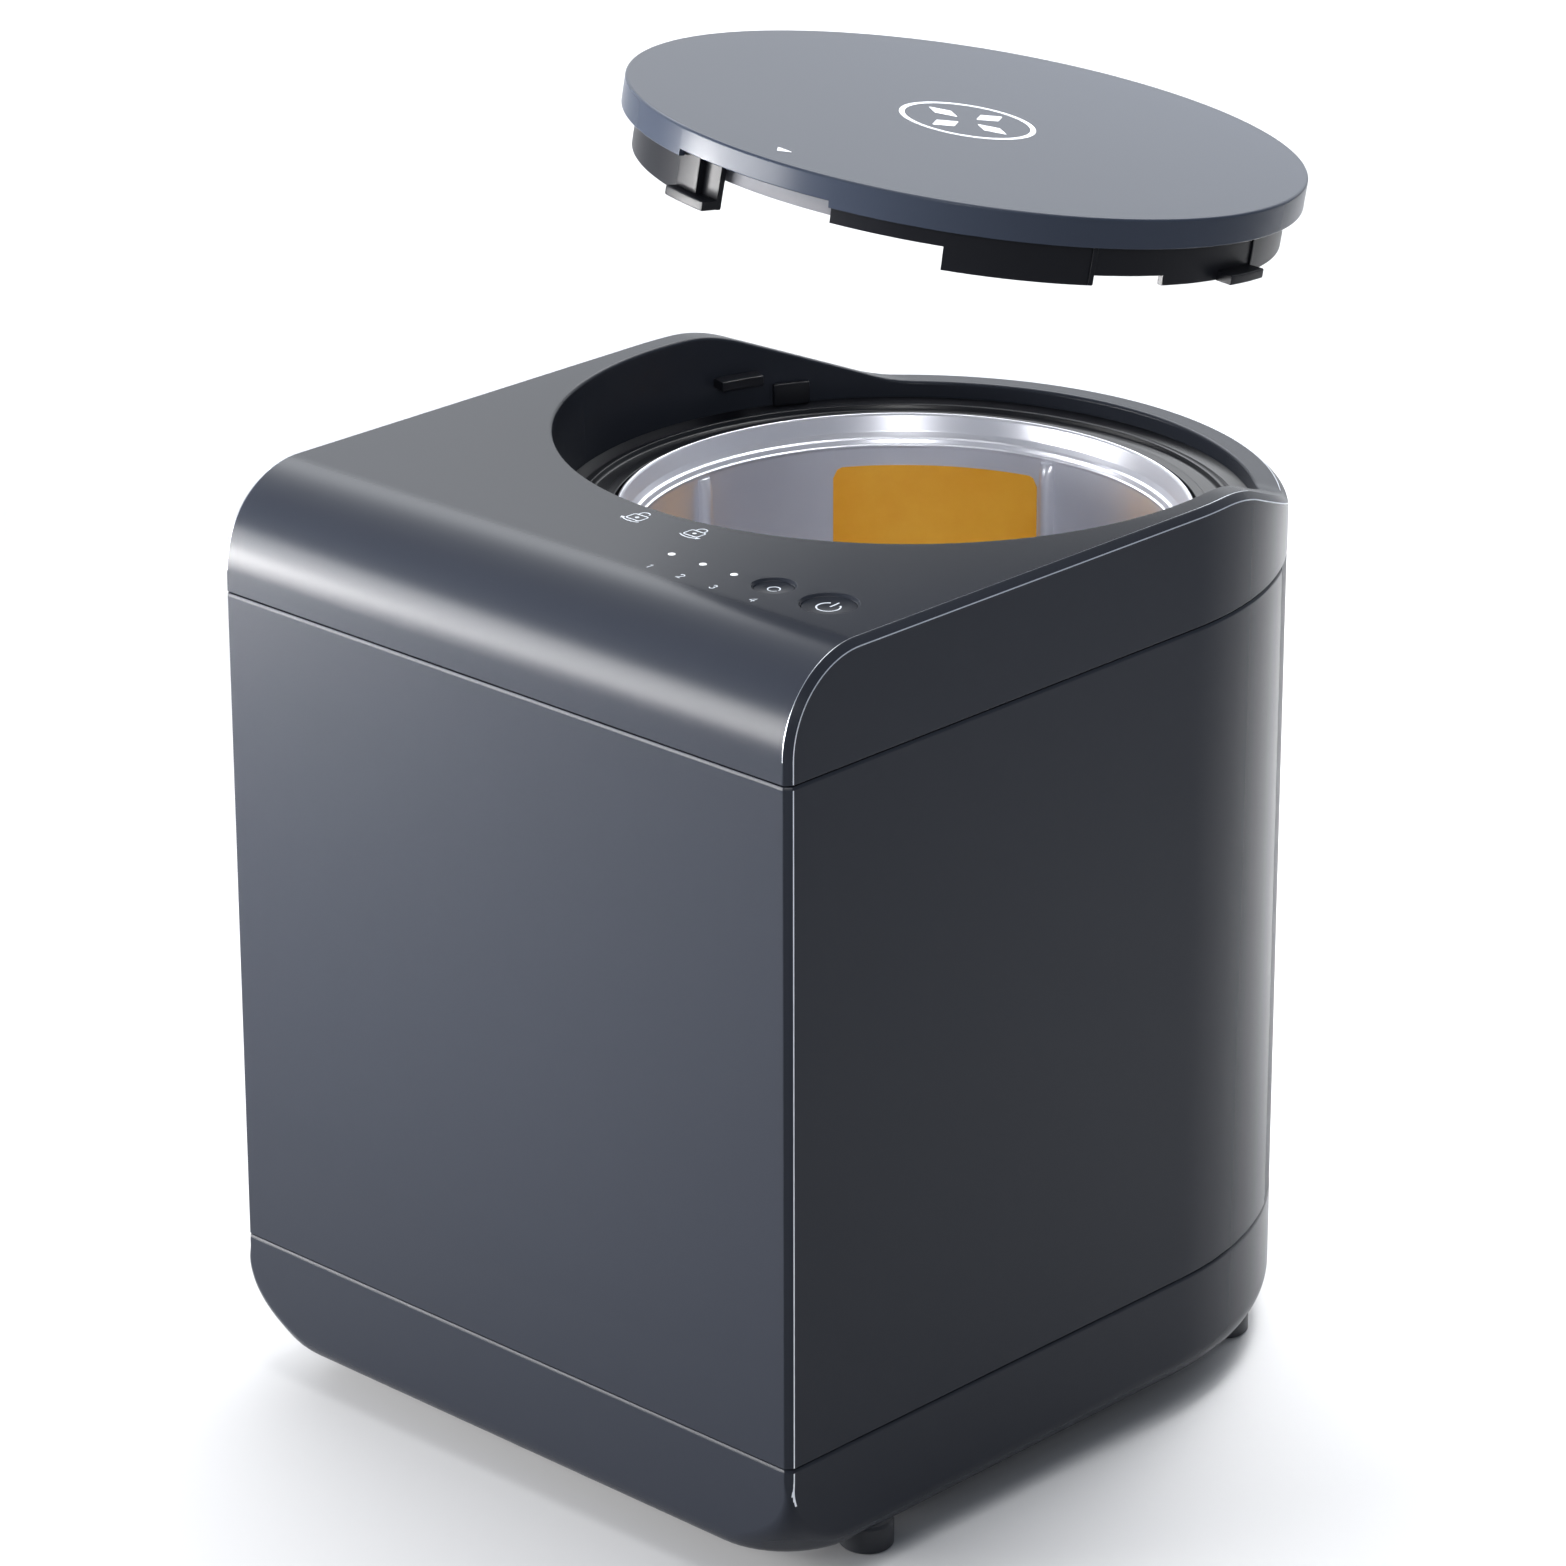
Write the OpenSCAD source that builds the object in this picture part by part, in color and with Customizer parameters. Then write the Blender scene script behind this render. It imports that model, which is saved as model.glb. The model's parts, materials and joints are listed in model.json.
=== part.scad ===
// Countertop electric food waste composter: a rectangular-front, round-back
// housing, a lift-off round lid with a bayonet turn, a removable metal bucket
// with a stirring auger, a gear drive, a heater, a fan and a filter drawer.
// Millimetres, +Z up, origin on the floor under the middle of the plan box.
// The lid is drawn where it hovers above the opening, tilted.

/* [Body] */
// Width of the body
body_w = 270; // [260:1:280]
// Depth of the body
body_d = 337; // [330:1:345]
// Height of the body without the lid
body_h = 341.5; // [338:0.5:346]
// Wall thickness of the outer shells
wall = 2.6; // [2:0.1:3]
// Visible joint between two shells
seam = 0.5; // [0.3:0.1:0.8]
// Radius of the roll between the front face and the top
roll_top = 34; // [28:1:38]
// Radius of the roll between the faces and the underside
roll_bot = 10; // [8:0.5:12]
// Radius that rounds off the two lower front corners
corner_bot = 44; // [40:1:44]
// Height of the lower seam
lower_seam = 53.5; // [53:0.5:56]
// Height of the upper seam
upper_seam = 299.2; // [296:0.1:302]
// How much lower the rear rim is than the top deck
rim_drop = 25; // [22:1:27]

/* [Opening and bucket] */
// Radius of the round opening in the deck
open_r = 124; // [122:0.5:125]
// Height of the black collar inside the opening
collar_h = 310.5; // [308.5:0.5:312.5]
// Outer radius of the bucket at its rim
bucket_r = 102.3; // [100:0.1:103]
// Height of the bucket rim
bucket_h = 312; // [310.5:0.5:313]

/* [Lid] */
// Radius of the lid
lid_r = 119.3; // [116:0.1:120]
// Depth of the grey band around the lid
band_h = 10.5; // [8:0.5:12]
// Depth of the black skirt below the top face
skirt_h = 25; // [22:0.5:26]
// Tilt of the hovering lid
lid_tilt = 8.94; // [6:0.01:10]

/* [Controls] */
// Radius of the start button
power_r = 9.3; // [8:0.1:10]
// Radius of the filter reset button
reset_r = 6.8; // [6:0.1:8]
// Radius of an indicator light
led_r = 1.3; // [1:0.1:2]

/* [Feet] */
// Radius of a foot
foot_r = 9.5; // [8:0.5:11]
// Height of a foot
foot_h = 12; // [11:0.5:13]

/* [Hidden] */
$fn = 96;
W = body_w / 2;
Y0 = -body_d / 2;          // front face
yc = body_d / 2 - W;       // axis of the round back, opening and bucket
// heights are drawn from a datum this far below the floor, and on_floor() takes it off
datum = 12.5;
H = body_h + datum;
seam_lo = lower_seam + datum;
seam_hi = upper_seam + datum;
collar_z = collar_h + datum;
bucket_top = bucket_h + datum;
zb = foot_h + datum;       // underside of the base pan
side_r = roll_bot;         // roll under the sides
side_z = zb + side_r;      // where the rolls start
cham = 2.4;                // bevel of the deck's long edges
vr = 3;                    // rounded upright edges at the front
panel_a = 30;              // the rear panel runs from here to 180 minus this
gear_m = 1.5;
seat = [0, yc, H + 0.6];                // centre of the seated lid's top face
hover = [14.0, 49.1, 463.9];            // centre of the hovering lid's top face
tilt_ax = [-0.8651, 0.5017, 0];
lug_a = [-99, 8, 152];                  // bayonet lugs on the skirt
power_p = [105.3, -117.8];
reset_p = [80.5, -117.8];
leds = [[34.8, -119.1], [49.3, -119.1], [63.7, -119.2]];
feet_p = [[119.4, -113.6], [-119.4, -113.6], [102.3, 96.5], [-102.3, 96.5]];
post_p = [[95, -118], [-95, -118], [108, -20], [-108, -20], [85, 90], [-85, 90]];
well_a = [40, 140, 220, 320];
idler_y = yc - 48;
pinion_y = idler_y - 36;
fan_p = [0, 98];
duct_p = [-46, 141];
teeth_out = 48;
teeth_big = 32;
teeth_small = 16;
slate = [0.30, 0.32, 0.36];
black = [0.06, 0.06, 0.07];
steel = [0.72, 0.72, 0.76];

module on_floor() { translate([0, 0, -datum]) children(); }
module at_axis() { translate([0, yc, 0]) children(); }

// pie-shaped sector, for cutting around the axis
module sector(a0, a1, r, h) {
  n = 12;
  linear_extrude(height = h)
    polygon(concat([[0, 0]], [for (i = [0 : n]) let (a = a0 + (a1 - a0) * i / n) [r * cos(a), r * sin(a)]]));
}

// plan outline: square front with small rounded uprights, half-round back
module plan(i = 0) {
  union() {
    translate([-W + i, Y0 + i + vr]) square([2 * (W - i), yc - Y0 - i - vr]);
    translate([-W + i + vr, Y0 + i]) square([2 * (W - i - vr), 20]);
    for (s = [-1, 1]) translate([s * (W - i - vr), Y0 + i + vr]) circle(r = vr);
    translate([0, yc]) circle(r = W - i, $fn = 180);
  }
}

// half of the section across the body, x >= 0
module half_section(i = 0, top = 0) {
  difference() {
    union() {
      translate([0, zb + i]) square([W - side_r, H - top - zb - i]);
      translate([0, side_z]) square([W - i, H - top - side_z]);
      translate([W - side_r, side_z]) circle(r = side_r - i, $fn = 64);
    }
    translate([W - i - cham, H - top]) polygon([[0, 0.001], [cham + 1, 0.001], [cham + 1, -cham - 1]]);
    translate([W - side_r, zb - 1]) square([side_r + 1, side_z - side_r - zb + 1 + i]);
  }
}

// side view of the front rolls, y to the right
module front_section(i = 0, top = 0) {
  union() {
    translate([Y0 + i, side_z]) square([300, H - roll_top - side_z]);
    translate([Y0 + roll_top, H - roll_top]) circle(r = roll_top - i, $fn = 96);
    translate([Y0 + roll_top, side_z]) square([300, H - top - side_z]);
    translate([Y0 + roll_bot, side_z]) circle(r = roll_bot - i, $fn = 96);
    translate([Y0 + roll_bot, zb - 1]) square([300, side_z]);
  }
}

// the whole outer form, inset by i, its deck lowered by top
module form(i = 0, top = 0) {
  union() {
    intersection() {
      linear_extrude(height = H) plan(i);
      translate([0, yc, 0]) rotate([90, 0, 0]) linear_extrude(height = yc - Y0 + 5)
        union() { half_section(i, top); mirror([1, 0]) half_section(i, top); }
      translate([-W - 5, 0, 0]) rotate([90, 0, 90]) linear_extrude(height = 2 * W + 10) front_section(i, top);
      translate([-200, Y0 - 10, 0]) cube([400, yc - Y0 + 10, H + 1]);
    }
    at_axis() rotate_extrude(angle = 180, $fn = 180) half_section(i, top);
  }
}

module slab(z0, z1) { translate([-200, -200, z0]) cube([400, 400, z1 - z0]); }

// everything below the deck as it swoops down to the rear rim
dip_a = 22;
dip_r1 = 60;
dip_r2 = 30;
dip_y0 = yc + 16;
dip_y1 = dip_y0 + dip_r1 * sin(dip_a);
dip_d1 = dip_r1 * (1 - cos(dip_a));
dip_d2 = rim_drop - dip_r2 * (1 - cos(dip_a));
dip_y2 = dip_y1 + (dip_d2 - dip_d1) / tan(dip_a);
dip_y3 = dip_y2 + dip_r2 * sin(dip_a);
dip_pts = concat(
  [for (k = [0 : 6]) let (a = dip_a * k / 6) [dip_y0 + dip_r1 * sin(a), H - dip_r1 * (1 - cos(a))]],
  [for (k = [6 : -1 : 0]) let (a = dip_a * k / 6) [dip_y3 - dip_r2 * sin(a), H - rim_drop + dip_r2 * (1 - cos(a))]]);
module over_dip(low = 0) {
  translate([-200, 0, -low]) rotate([90, 0, 90]) linear_extrude(height = 400)
    polygon(concat([[dip_y0, H + 20]], dip_pts, [[250, H - rim_drop], [250, H + 20]]));
}

// ring around the axis
module ring(r1, r2, z0, z1) {
  at_axis() translate([0, 0, z0]) difference() {
    cylinder(r = r2, h = z1 - z0, $fn = 144);
    translate([0, 0, -1]) cylinder(r = r1, h = z1 - z0 + 2, $fn = 144);
  }
}

// involute spur gear outline
function inv_deg(a) = (tan(a) * 180 / PI) - a;
function half_tooth(z, rb, rho, bl) = 90 / z - bl + inv_deg(20) - inv_deg(acos(min(1, rb / rho)));
module gear2d(z, m, bl = 0.35) {
  r = m * z / 2; rb = r * cos(20); ra = r + 0.9 * m; rf = r - 1.2 * m; r0 = max(rb, rf + 0.05);
  n = 3;
  bla = bl * 90 / (PI * r);
  polygon([for (i = [0 : z - 1]) let (a = i * 360 / z) each concat(
    [let (h = half_tooth(z, rb, r0, bla)) [rf * cos(a - h), rf * sin(a - h)]],
    [for (k = [0 : n]) let (rho = r0 + (ra - r0) * k / n, h = half_tooth(z, rb, rho, bla)) [rho * cos(a - h), rho * sin(a - h)]],
    [for (k = [n : -1 : 0]) let (rho = r0 + (ra - r0) * k / n, h = half_tooth(z, rb, rho, bla)) [rho * cos(a + h), rho * sin(a + h)]],
    [let (h = half_tooth(z, rb, r0, bla)) [rf * cos(a + h), rf * sin(a + h)]])]);
}
module gear(z, m, z0, z1, bore, turn = 0) {
  translate([0, 0, z0]) difference() {
    rotate(turn) linear_extrude(height = z1 - z0) gear2d(z, m);
    translate([0, 0, -1]) cylinder(r = bore, h = z1 - z0 + 2, $fn = 48);
  }
}

/* ---- outer shells ---- */
module pan_hole(i = 0, z0 = 0, z1 = 40) {
  translate([0, 0, z0]) linear_extrude(height = z1 - z0) intersection() {
    plan(side_r + i);
    translate([-200, Y0 + 37.4 + i]) square([400, 400]);
  }
}
// what is taken off the two lower front corners, seen along the diagonal as a quarter round
module corner_off(i = 0) {
  for (s = [-1, 1]) translate([s * W, Y0, zb]) rotate(s * 45) difference() {
    translate([-80, -10, -5]) cube([160, 10 + corner_bot, corner_bot + 2]);
    translate([-100, corner_bot, corner_bot - 3]) rotate([0, 90, 0]) cylinder(r = corner_bot - i, h = 200, $fn = 144);
  }
}
module bottom_shell() on_floor() {
  color(slate) difference() {
    intersection() { form(0); slab(0, seam_lo - seam / 2); }
    corner_off(0);
    difference() { intersection() { form(wall, 10); slab(zb - 5, 100); } corner_off(wall); }
    pan_hole(0, 0, 40);
    // exhaust slots at the back
    for (k = [-3 : 3]) translate([k * 9 - 2, 120, 37]) cube([4, 60, 18]);
  }
}
module base_pan() on_floor() {
  color([0.14, 0.145, 0.16]) difference() {
    union() {
      difference() {
        pan_hole(0.25, zb, zb + 9);
        pan_hole(2.6, zb + 3, zb + 20);
      }
      intersection() { pan_hole(0.25, zb, zb + 14); for (p = feet_p) translate([p[0], p[1], zb]) cylinder(r = 8, h = 14, $fn = 48); }
      for (p = post_p) translate([p[0], p[1], zb]) cylinder(r = 9, h = 6, $fn = 48);
    }
    for (p = feet_p) translate([p[0], p[1], zb - 1]) cylinder(r = 1.85, h = 14, $fn = 32);
    corner_off(0);
    // air inlet slots
    for (k = [-4 : 4]) translate([k * 10 - 2, -95, zb - 1]) cube([4, 40, 6]);
  }
}
module feet() on_floor() {
  color(black) for (p = feet_p) translate([p[0], p[1], datum]) difference() {
    union() { cylinder(r1 = foot_r - 1, r2 = foot_r, h = 1); translate([0, 0, 1]) cylinder(r = foot_r, h = foot_h - 1); }
    translate([0, 0, -1]) cylinder(r = 4.2, h = 4.5, $fn = 48);
    translate([0, 0, -1]) cylinder(r = 1.9, h = 20, $fn = 32);
  }
}
module foot_screws() on_floor() {
  color(steel) for (p = feet_p) translate([p[0], p[1], datum + 1.2]) {
    difference() {
      union() { cylinder(r = 3.6, h = 2.3, $fn = 48); translate([0, 0, 2]) cylinder(r = 1.8, h = 18, $fn = 32); }
      for (a = [0, 90]) rotate(a) translate([-2, -0.4, -1]) cube([4, 0.8, 2]);
    }
  }
}
module mid_shell() on_floor() {
  color(slate) difference() {
    intersection() { form(0); slab(seam_lo + seam / 2, seam_hi - seam / 2); }
    intersection() { form(wall, 10); slab(20, 400); }
    at_axis() sector(panel_a, 180 - panel_a, 200, 400);
  }
}
module rear_panel() on_floor() {
  color(0.86 * slate) difference() {
    at_axis() intersection() {
      difference() {
        translate([0, 0, seam_lo + seam / 2]) cylinder(r = W - 0.15, h = collar_z - seam_lo - seam / 2, $fn = 180);
        translate([0, 0, 10]) cylinder(r = W - wall, h = 400, $fn = 180);
      }
      sector(panel_a + 0.25, 180 - panel_a - 0.25, 200, 400);
    }
    translate([-50, 100, 70]) cube([100, 80, 30]);
    translate([-15, 100, 126]) cube([30, 80, 26]);
    for (k = [-5 : 5], j = [0 : 1]) translate([k * 9 - 2, 120, 190 + 34 * j]) cube([4, 60, 26]);
  }
}
module top_cover() on_floor() {
  color(slate) difference() {
    union() {
      difference() {
        intersection() { form(0); slab(seam_hi + seam / 2, H + 1); }
        difference() { intersection() { form(wall, 3); slab(250, H + 1); } over_dip(3); }
      }
      ring(open_r - 1, open_r + 2.6, collar_z, H - 1);
    }
    over_dip(0);
    at_axis() translate([0, 0, 250]) cylinder(r = open_r, h = 200, $fn = 180);
    // room for the rear panel, whose top the rim covers
    at_axis() intersection() {
      difference() { translate([0, 0, 250]) cylinder(r = 150, h = collar_z + 0.2 - 250); translate([0, 0, 200]) cylinder(r = W - wall - 0.2, h = 200, $fn = 180); }
      sector(panel_a, 180 - panel_a, 220, 400);
    }
    for (b = [[power_p, power_r], [reset_p, reset_r]]) translate([b[0][0], b[0][1], 0]) {
      translate([0, 0, 300]) cylinder(r = b[1] + 0.15, h = 100);
      translate([0, 0, H - 1.1]) cylinder(r1 = b[1] + 0.15, r2 = b[1] + 1.05, h = 1.15);
    }
    for (p = leds) translate([p[0], p[1], 300]) cylinder(r = led_r + 0.05, h = 100, $fn = 32);
  }
}

/* ---- inside the opening ---- */
module lid_collar() on_floor() {
  color(black) difference() {
    union() {
      ring(103.9, 126.4, collar_z - 2.6, collar_z);
      ring(106, 107.8, 304, collar_z - 2.5);
    }
    translate([duct_p[0], duct_p[1], 200]) cylinder(r = 6, h = 200, $fn = 48);
  }
}
module lid_catches() on_floor() {
  color(black) {
    for (a = lug_a) at_axis() intersection() {
      difference() {
        translate([0, 0, H - 20.4]) cylinder(r = open_r, h = 3.6, $fn = 144);
        translate([0, 0, H - 25]) cylinder(r = 117.4, h = 10, $fn = 144);
      }
      sector(a + 6.8, a + 15.2, 140, 400);
    }
    at_axis() intersection() {
      difference() {
        translate([0, 0, collar_z]) cylinder(r = open_r, h = 8.4, $fn = 144);
        translate([0, 0, collar_z - 1]) cylinder(r = 121.6, h = 12, $fn = 144);
      }
      sector(149.4, 155.9, 140, 400);
    }
  }
}
module bucket_well() on_floor() {
  color([0.55, 0.56, 0.58]) at_axis() difference() {
    translate([0, 0, 118]) cylinder(r = 105.7, h = 200, $fn = 144);
    translate([0, 0, 120]) cylinder(r = 104.3, h = 250, $fn = 144);
    translate([0, 0, 100]) cylinder(r = 16, h = 50, $fn = 64);
  }
}
module heater_plate() on_floor() { color([0.6, 0.6, 0.62]) difference() { ring(20, 95, 108, 118); at_axis() for (a = well_a) rotate(a) translate([88, 0, 100]) cylinder(r = 1.9, h = 12, $fn = 32); } }
module heating_element() on_floor() { color([0.45, 0.25, 0.2]) at_axis() rotate_extrude($fn = 96) translate([40, 104.7]) circle(r = 3.2, $fn = 32); }
module thermostat() on_floor() {
  color([0.2, 0.2, 0.22]) at_axis() translate([28, 0, 0]) { translate([0, 0, 99]) cylinder(r = 7.4, h = 9, $fn = 48); for (s = [-1, 1]) translate([s * 4 - 0.4, -2, 95]) cube([0.8, 4, 5]); }
}
module shaft_seal() on_floor() { color([0.75, 0.25, 0.15]) { ring(6.25, 15.9, 118, 120.5); ring(6.25, 10, 120.4, 122.5); } }
module well_posts() on_floor() { color(steel) at_axis() for (a = well_a) rotate(a) translate([88, 0, 63]) { cylinder(r = 5, h = 45, $fn = 6); translate([0, 0, 44]) cylinder(r = 1.8, h = 4.6, $fn = 32); } }

/* ---- chassis and drive ---- */
module chassis_plate() on_floor() {
  color([0.62, 0.64, 0.66]) difference() {
    translate([0, 0, 60]) linear_extrude(height = 3) intersection() { plan(4.5); translate([-200, Y0 + 8]) square([400, 400]); }
    translate([0, pinion_y, 50]) cylinder(r = 14, h = 20, $fn = 64);
    translate([fan_p[0], fan_p[1], 50]) cylinder(r = 22, h = 20, $fn = 64);
    for (p = post_p) translate([p[0], p[1], 50]) cylinder(r = 2, h = 20, $fn = 32);
    translate([-60, -150, 50]) cube([120, 12, 20]);
  }
}
module chassis_posts() on_floor() {
  color([0.85, 0.85, 0.83]) for (p = post_p) translate([p[0], p[1], 0]) difference() {
    translate([0, 0, zb + 6]) cylinder(r = 6, h = 60 - zb - 6, $fn = 48);
    translate([0, 0, 40]) cylinder(r = 1.65, h = 30, $fn = 32);
  }
}
module chassis_screws() on_floor() {
  color(steel) for (p = post_p) translate([p[0], p[1], 63]) difference() {
    union() { cylinder(r = 3.4, h = 2.2, $fn = 48); translate([0, 0, -17]) cylinder(r = 1.6, h = 18, $fn = 32); }
    for (a = [0, 90]) rotate(a) translate([-2, -0.4, 1.2]) cube([4, 0.8, 2]);
  }
}
module box_plan(i = 0) {
  translate([0, yc]) circle(r = 43 - i);
  translate([0, idler_y]) circle(r = 31 - i);
  translate([0, pinion_y]) circle(r = 22 - i);
  translate([-20 + i, pinion_y]) square([40 - 2 * i, yc - pinion_y]);
}
module gearbox_housing() on_floor() {
  color([0.18, 0.19, 0.21]) difference() {
    translate([0, 0, 63]) linear_extrude(height = 28) box_plan(0);
    translate([0, 0, 65.5]) linear_extrude(height = 40) box_plan(2.5);
    translate([0, pinion_y, 60]) cylinder(r = 13.8, h = 20, $fn = 64);
    translate([0, idler_y, 60]) cylinder(r = 3, h = 20, $fn = 48);
    at_axis() translate([0, 0, 60]) cylinder(r = 6.05, h = 20, $fn = 48);
  }
}
module gearbox_cover() on_floor() {
  color([0.24, 0.25, 0.27]) difference() {
    union() {
      translate([0, 0, 91]) linear_extrude(height = 3) box_plan(0);
      at_axis() translate([0, 0, 94]) cylinder(r = 18, h = 8, $fn = 64);
    }
    at_axis() translate([0, 0, 80]) cylinder(r = 13, h = 21, $fn = 64);
    at_axis() translate([0, 0, 80]) cylinder(r = 7, h = 40, $fn = 64);
    translate([0, idler_y, 80]) cylinder(r = 3, h = 12.5, $fn = 48);
  }
}
module drive_motor() on_floor() {
  color([0.66, 0.67, 0.7]) translate([0, pinion_y, 0]) difference() {
    union() {
      translate([0, 0, 30]) cylinder(r = 30, h = 30, $fn = 96);
      translate([0, 0, 59]) cylinder(r = 13, h = 5, $fn = 64);
      translate([-8, -34, 36]) cube([16, 8, 12]);
    }
    translate([0, 0, 40]) cylinder(r = 4.1, h = 60, $fn = 48);
  }
}
module idler_axle() on_floor() { color(steel) translate([0, idler_y, 63]) cylinder(r = 2.95, h = 29, $fn = 48); }
module shaft_bearings() on_floor() {
  color([0.8, 0.8, 0.83]) {
    ring(6.05, 13, 65.5, 72.5);
    ring(6.05, 12.95, 94, 100.9);
  }
}
module motor_pinion() on_floor() {
  color([0.85, 0.75, 0.45]) translate([0, pinion_y, 0]) union() {
    gear(teeth_small, gear_m, 66, 76, 2, 180 / teeth_small);
    translate([0, 0, 45]) cylinder(r = 4, h = 21, $fn = 48);
    translate([0, 0, 66]) cylinder(r = 2.5, h = 10, $fn = 32);
  }
}
module idler_gear() on_floor() {
  color([0.9, 0.9, 0.86]) translate([0, idler_y, 0]) union() {
    gear(teeth_big, gear_m, 66.5, 74.5, 3.02, 90);
    gear(teeth_small, gear_m, 74.4, 88.5, 3.02, 90 + 180 / teeth_small);
  }
}
module output_gear() on_floor() {
  color([0.82, 0.83, 0.85]) at_axis() union() {
    gear(teeth_out, gear_m, 77, 87, 6.02, -90);
    difference() {
      union() { translate([0, 0, 73]) cylinder(r = 11, h = 4.5, $fn = 64); translate([0, 0, 86.5]) cylinder(r = 11, h = 4.5, $fn = 64); }
      translate([0, 0, 60]) cylinder(r = 6.02, h = 50, $fn = 64);
    }
  }
}
module drive_shaft() on_floor() {
  color(steel) at_axis() union() {
    translate([0, 0, 63.5]) cylinder(r = 6, h = 60, $fn = 64);
    translate([0, 0, 123.4]) cylinder(r = 6, h = 13, $fn = 6);
  }
}

/* ---- air path ---- */
module fan_housing() on_floor() {
  color([0.12, 0.12, 0.13]) translate([fan_p[0], fan_p[1], 0]) difference() {
    union() {
      translate([0, 0, 30]) cylinder(r = 40, h = 30, $fn = 96);
      translate([-30, 20, 34]) cube([60, 36, 24]);
    }
    translate([0, 0, 32]) cylinder(r = 38, h = 25.5, $fn = 96);
    translate([0, 0, 50]) cylinder(r = 22, h = 20, $fn = 64);
    translate([-28, 0, 36]) cube([56, 70, 20]);
  }
}
module fan_motor() on_floor() { color(steel) translate([fan_p[0], fan_p[1], 32]) difference() { cylinder(r = 11, h = 10, $fn = 64); translate([0, 0, 4]) cylinder(r = 1.56, h = 20, $fn = 32); } }
module fan_impeller() on_floor() {
  color([0.2, 0.22, 0.26]) translate([fan_p[0], fan_p[1], 0]) union() {
    translate([0, 0, 43]) cylinder(r = 34, h = 1.6, $fn = 96);
    translate([0, 0, 37.5]) cylinder(r = 1.5, h = 6, $fn = 32);
    translate([0, 0, 44]) cylinder(r = 9, h = 6, $fn = 48);
    for (k = [0 : 23]) rotate(k * 15) translate([24, 0, 44]) rotate(35) translate([0, -0.6, 0]) cube([10, 1.2, 10.4]);
    translate([0, 0, 54]) difference() { cylinder(r = 35, h = 1.4, $fn = 96); translate([0, 0, -1]) cylinder(r = 25, h = 4, $fn = 96); }
  }
}
module exhaust_duct() on_floor() {
  color([0.16, 0.16, 0.17]) translate([duct_p[0], duct_p[1], 104]) difference() {
    union() { cylinder(r = 7.8, h = collar_z - 2.6 - 104, $fn = 64); cylinder(r = 7.9, h = 3, $fn = 64); }
    translate([0, 0, -1]) cylinder(r = 6, h = 300, $fn = 64);
  }
}
module filter_box() on_floor() {
  color([0.13, 0.13, 0.14]) difference() {
    translate([-56, 80, 66]) cube([112, 70, 38]);
    translate([-50.5, 84, 70]) cube([101, 80, 30]);
    translate([duct_p[0], duct_p[1], 90]) cylinder(r = 6, h = 30, $fn = 48);
    translate([fan_p[0], fan_p[1], 60]) cylinder(r = 12, h = 20, $fn = 64);
  }
}
module filter_tray() on_floor() {
  color([0.3, 0.31, 0.33]) difference() {
    translate([-49.6, 86, 70.6]) cube([99.2, 68, 28]);
    translate([-47, 89, 73]) cube([94, 62, 40]);
    for (k = [-4 : 4]) translate([k * 10 - 3, 94, 60]) cube([6, 50, 20]);
  }
}
module carbon_filter() on_floor() {
  color([0.08, 0.08, 0.08]) difference() {
    translate([-46.6, 89.4, 73.2]) cube([93.2, 61.2, 23]);
    for (k = [-3 : 3], j = [-2 : 2]) translate([k * 12, 120 + j * 11, 90]) cylinder(r = 4.4, h = 10, $fn = 6);
  }
}
module filter_door() on_floor() {
  color(0.8 * slate) union() {
    difference() {
      intersection() {
        at_axis() difference() { translate([0, 0, 66]) cylinder(r = W - 0.15, h = 40, $fn = 180); translate([0, 0, 60]) cylinder(r = W - wall, h = 60, $fn = 180); }
        translate([-49.7, 100, 70.3]) cube([99.4, 80, 29.4]);
      }
      translate([0, 170.5, 94]) sphere(r = 9, $fn = 48);
    }
    // two webs tie the door to the tray
    for (s = [-1, 1]) intersection() {
      translate([s * 38 - 2, 154, 74]) cube([4, 20, 22]);
      at_axis() cylinder(r = W - wall + 0.3, h = 200, $fn = 180);
    }
  }
}

/* ---- electrics ---- */
module power_inlet() on_floor() {
  color(black) difference() {
    union() {
      translate([-14.6, 164.4, 126.3]) cube([29.2, 3, 25.4]);
      translate([-13.4, 146, 129]) cube([26.8, 20, 20]);
    }
    translate([-11.6, 149, 132.6]) cube([23.2, 30, 12.8]);
  }
}
module inlet_pins() on_floor() { color(steel) for (p = [[-6, 141], [0, 137], [6, 141]]) translate([p[0] - 0.8, 149, p[1] - 2.4]) cube([1.6, 12, 4]); }
module main_board() on_floor() { color([0.1, 0.35, 0.2]) difference() { translate([-90, -150, 90]) cube([180, 1.6, 170]); for (s = [-1, 1], z = [98, 252]) translate([s * 82, -140, z]) rotate([90, 0, 0]) cylinder(r = 1.7, h = 20, $fn = 32); } }
module board_parts() on_floor() {
  color([0.15, 0.15, 0.3]) {
    for (k = [0 : 3]) translate([-60 + k * 18, -148.4, 120]) rotate([-90, 0, 0]) cylinder(r = 7, h = 22, $fn = 48);
    translate([20, -148.4, 105]) cube([36, 28, 30]);
    translate([-30, -148.4, 160]) cube([40, 6, 40]);
    translate([30, -148.4, 160]) cube([30, 16, 24]);
    translate([-70, -148.4, 225]) cube([140, 9, 12]);
  }
}
module board_posts() on_floor() { color([0.85, 0.85, 0.83]) for (s = [-1, 1], z = [98, 252]) translate([s * 82, -150, z]) rotate([90, 0, 0]) union() { cylinder(r = 4, h = 15.9, $fn = 48); translate([0, 0, -4]) cylinder(r = 1.65, h = 8, $fn = 32); } }
module control_board() on_floor() { color([0.1, 0.35, 0.2]) translate([22, -148, 337]) cube([103, 48, 1.6]); }
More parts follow.
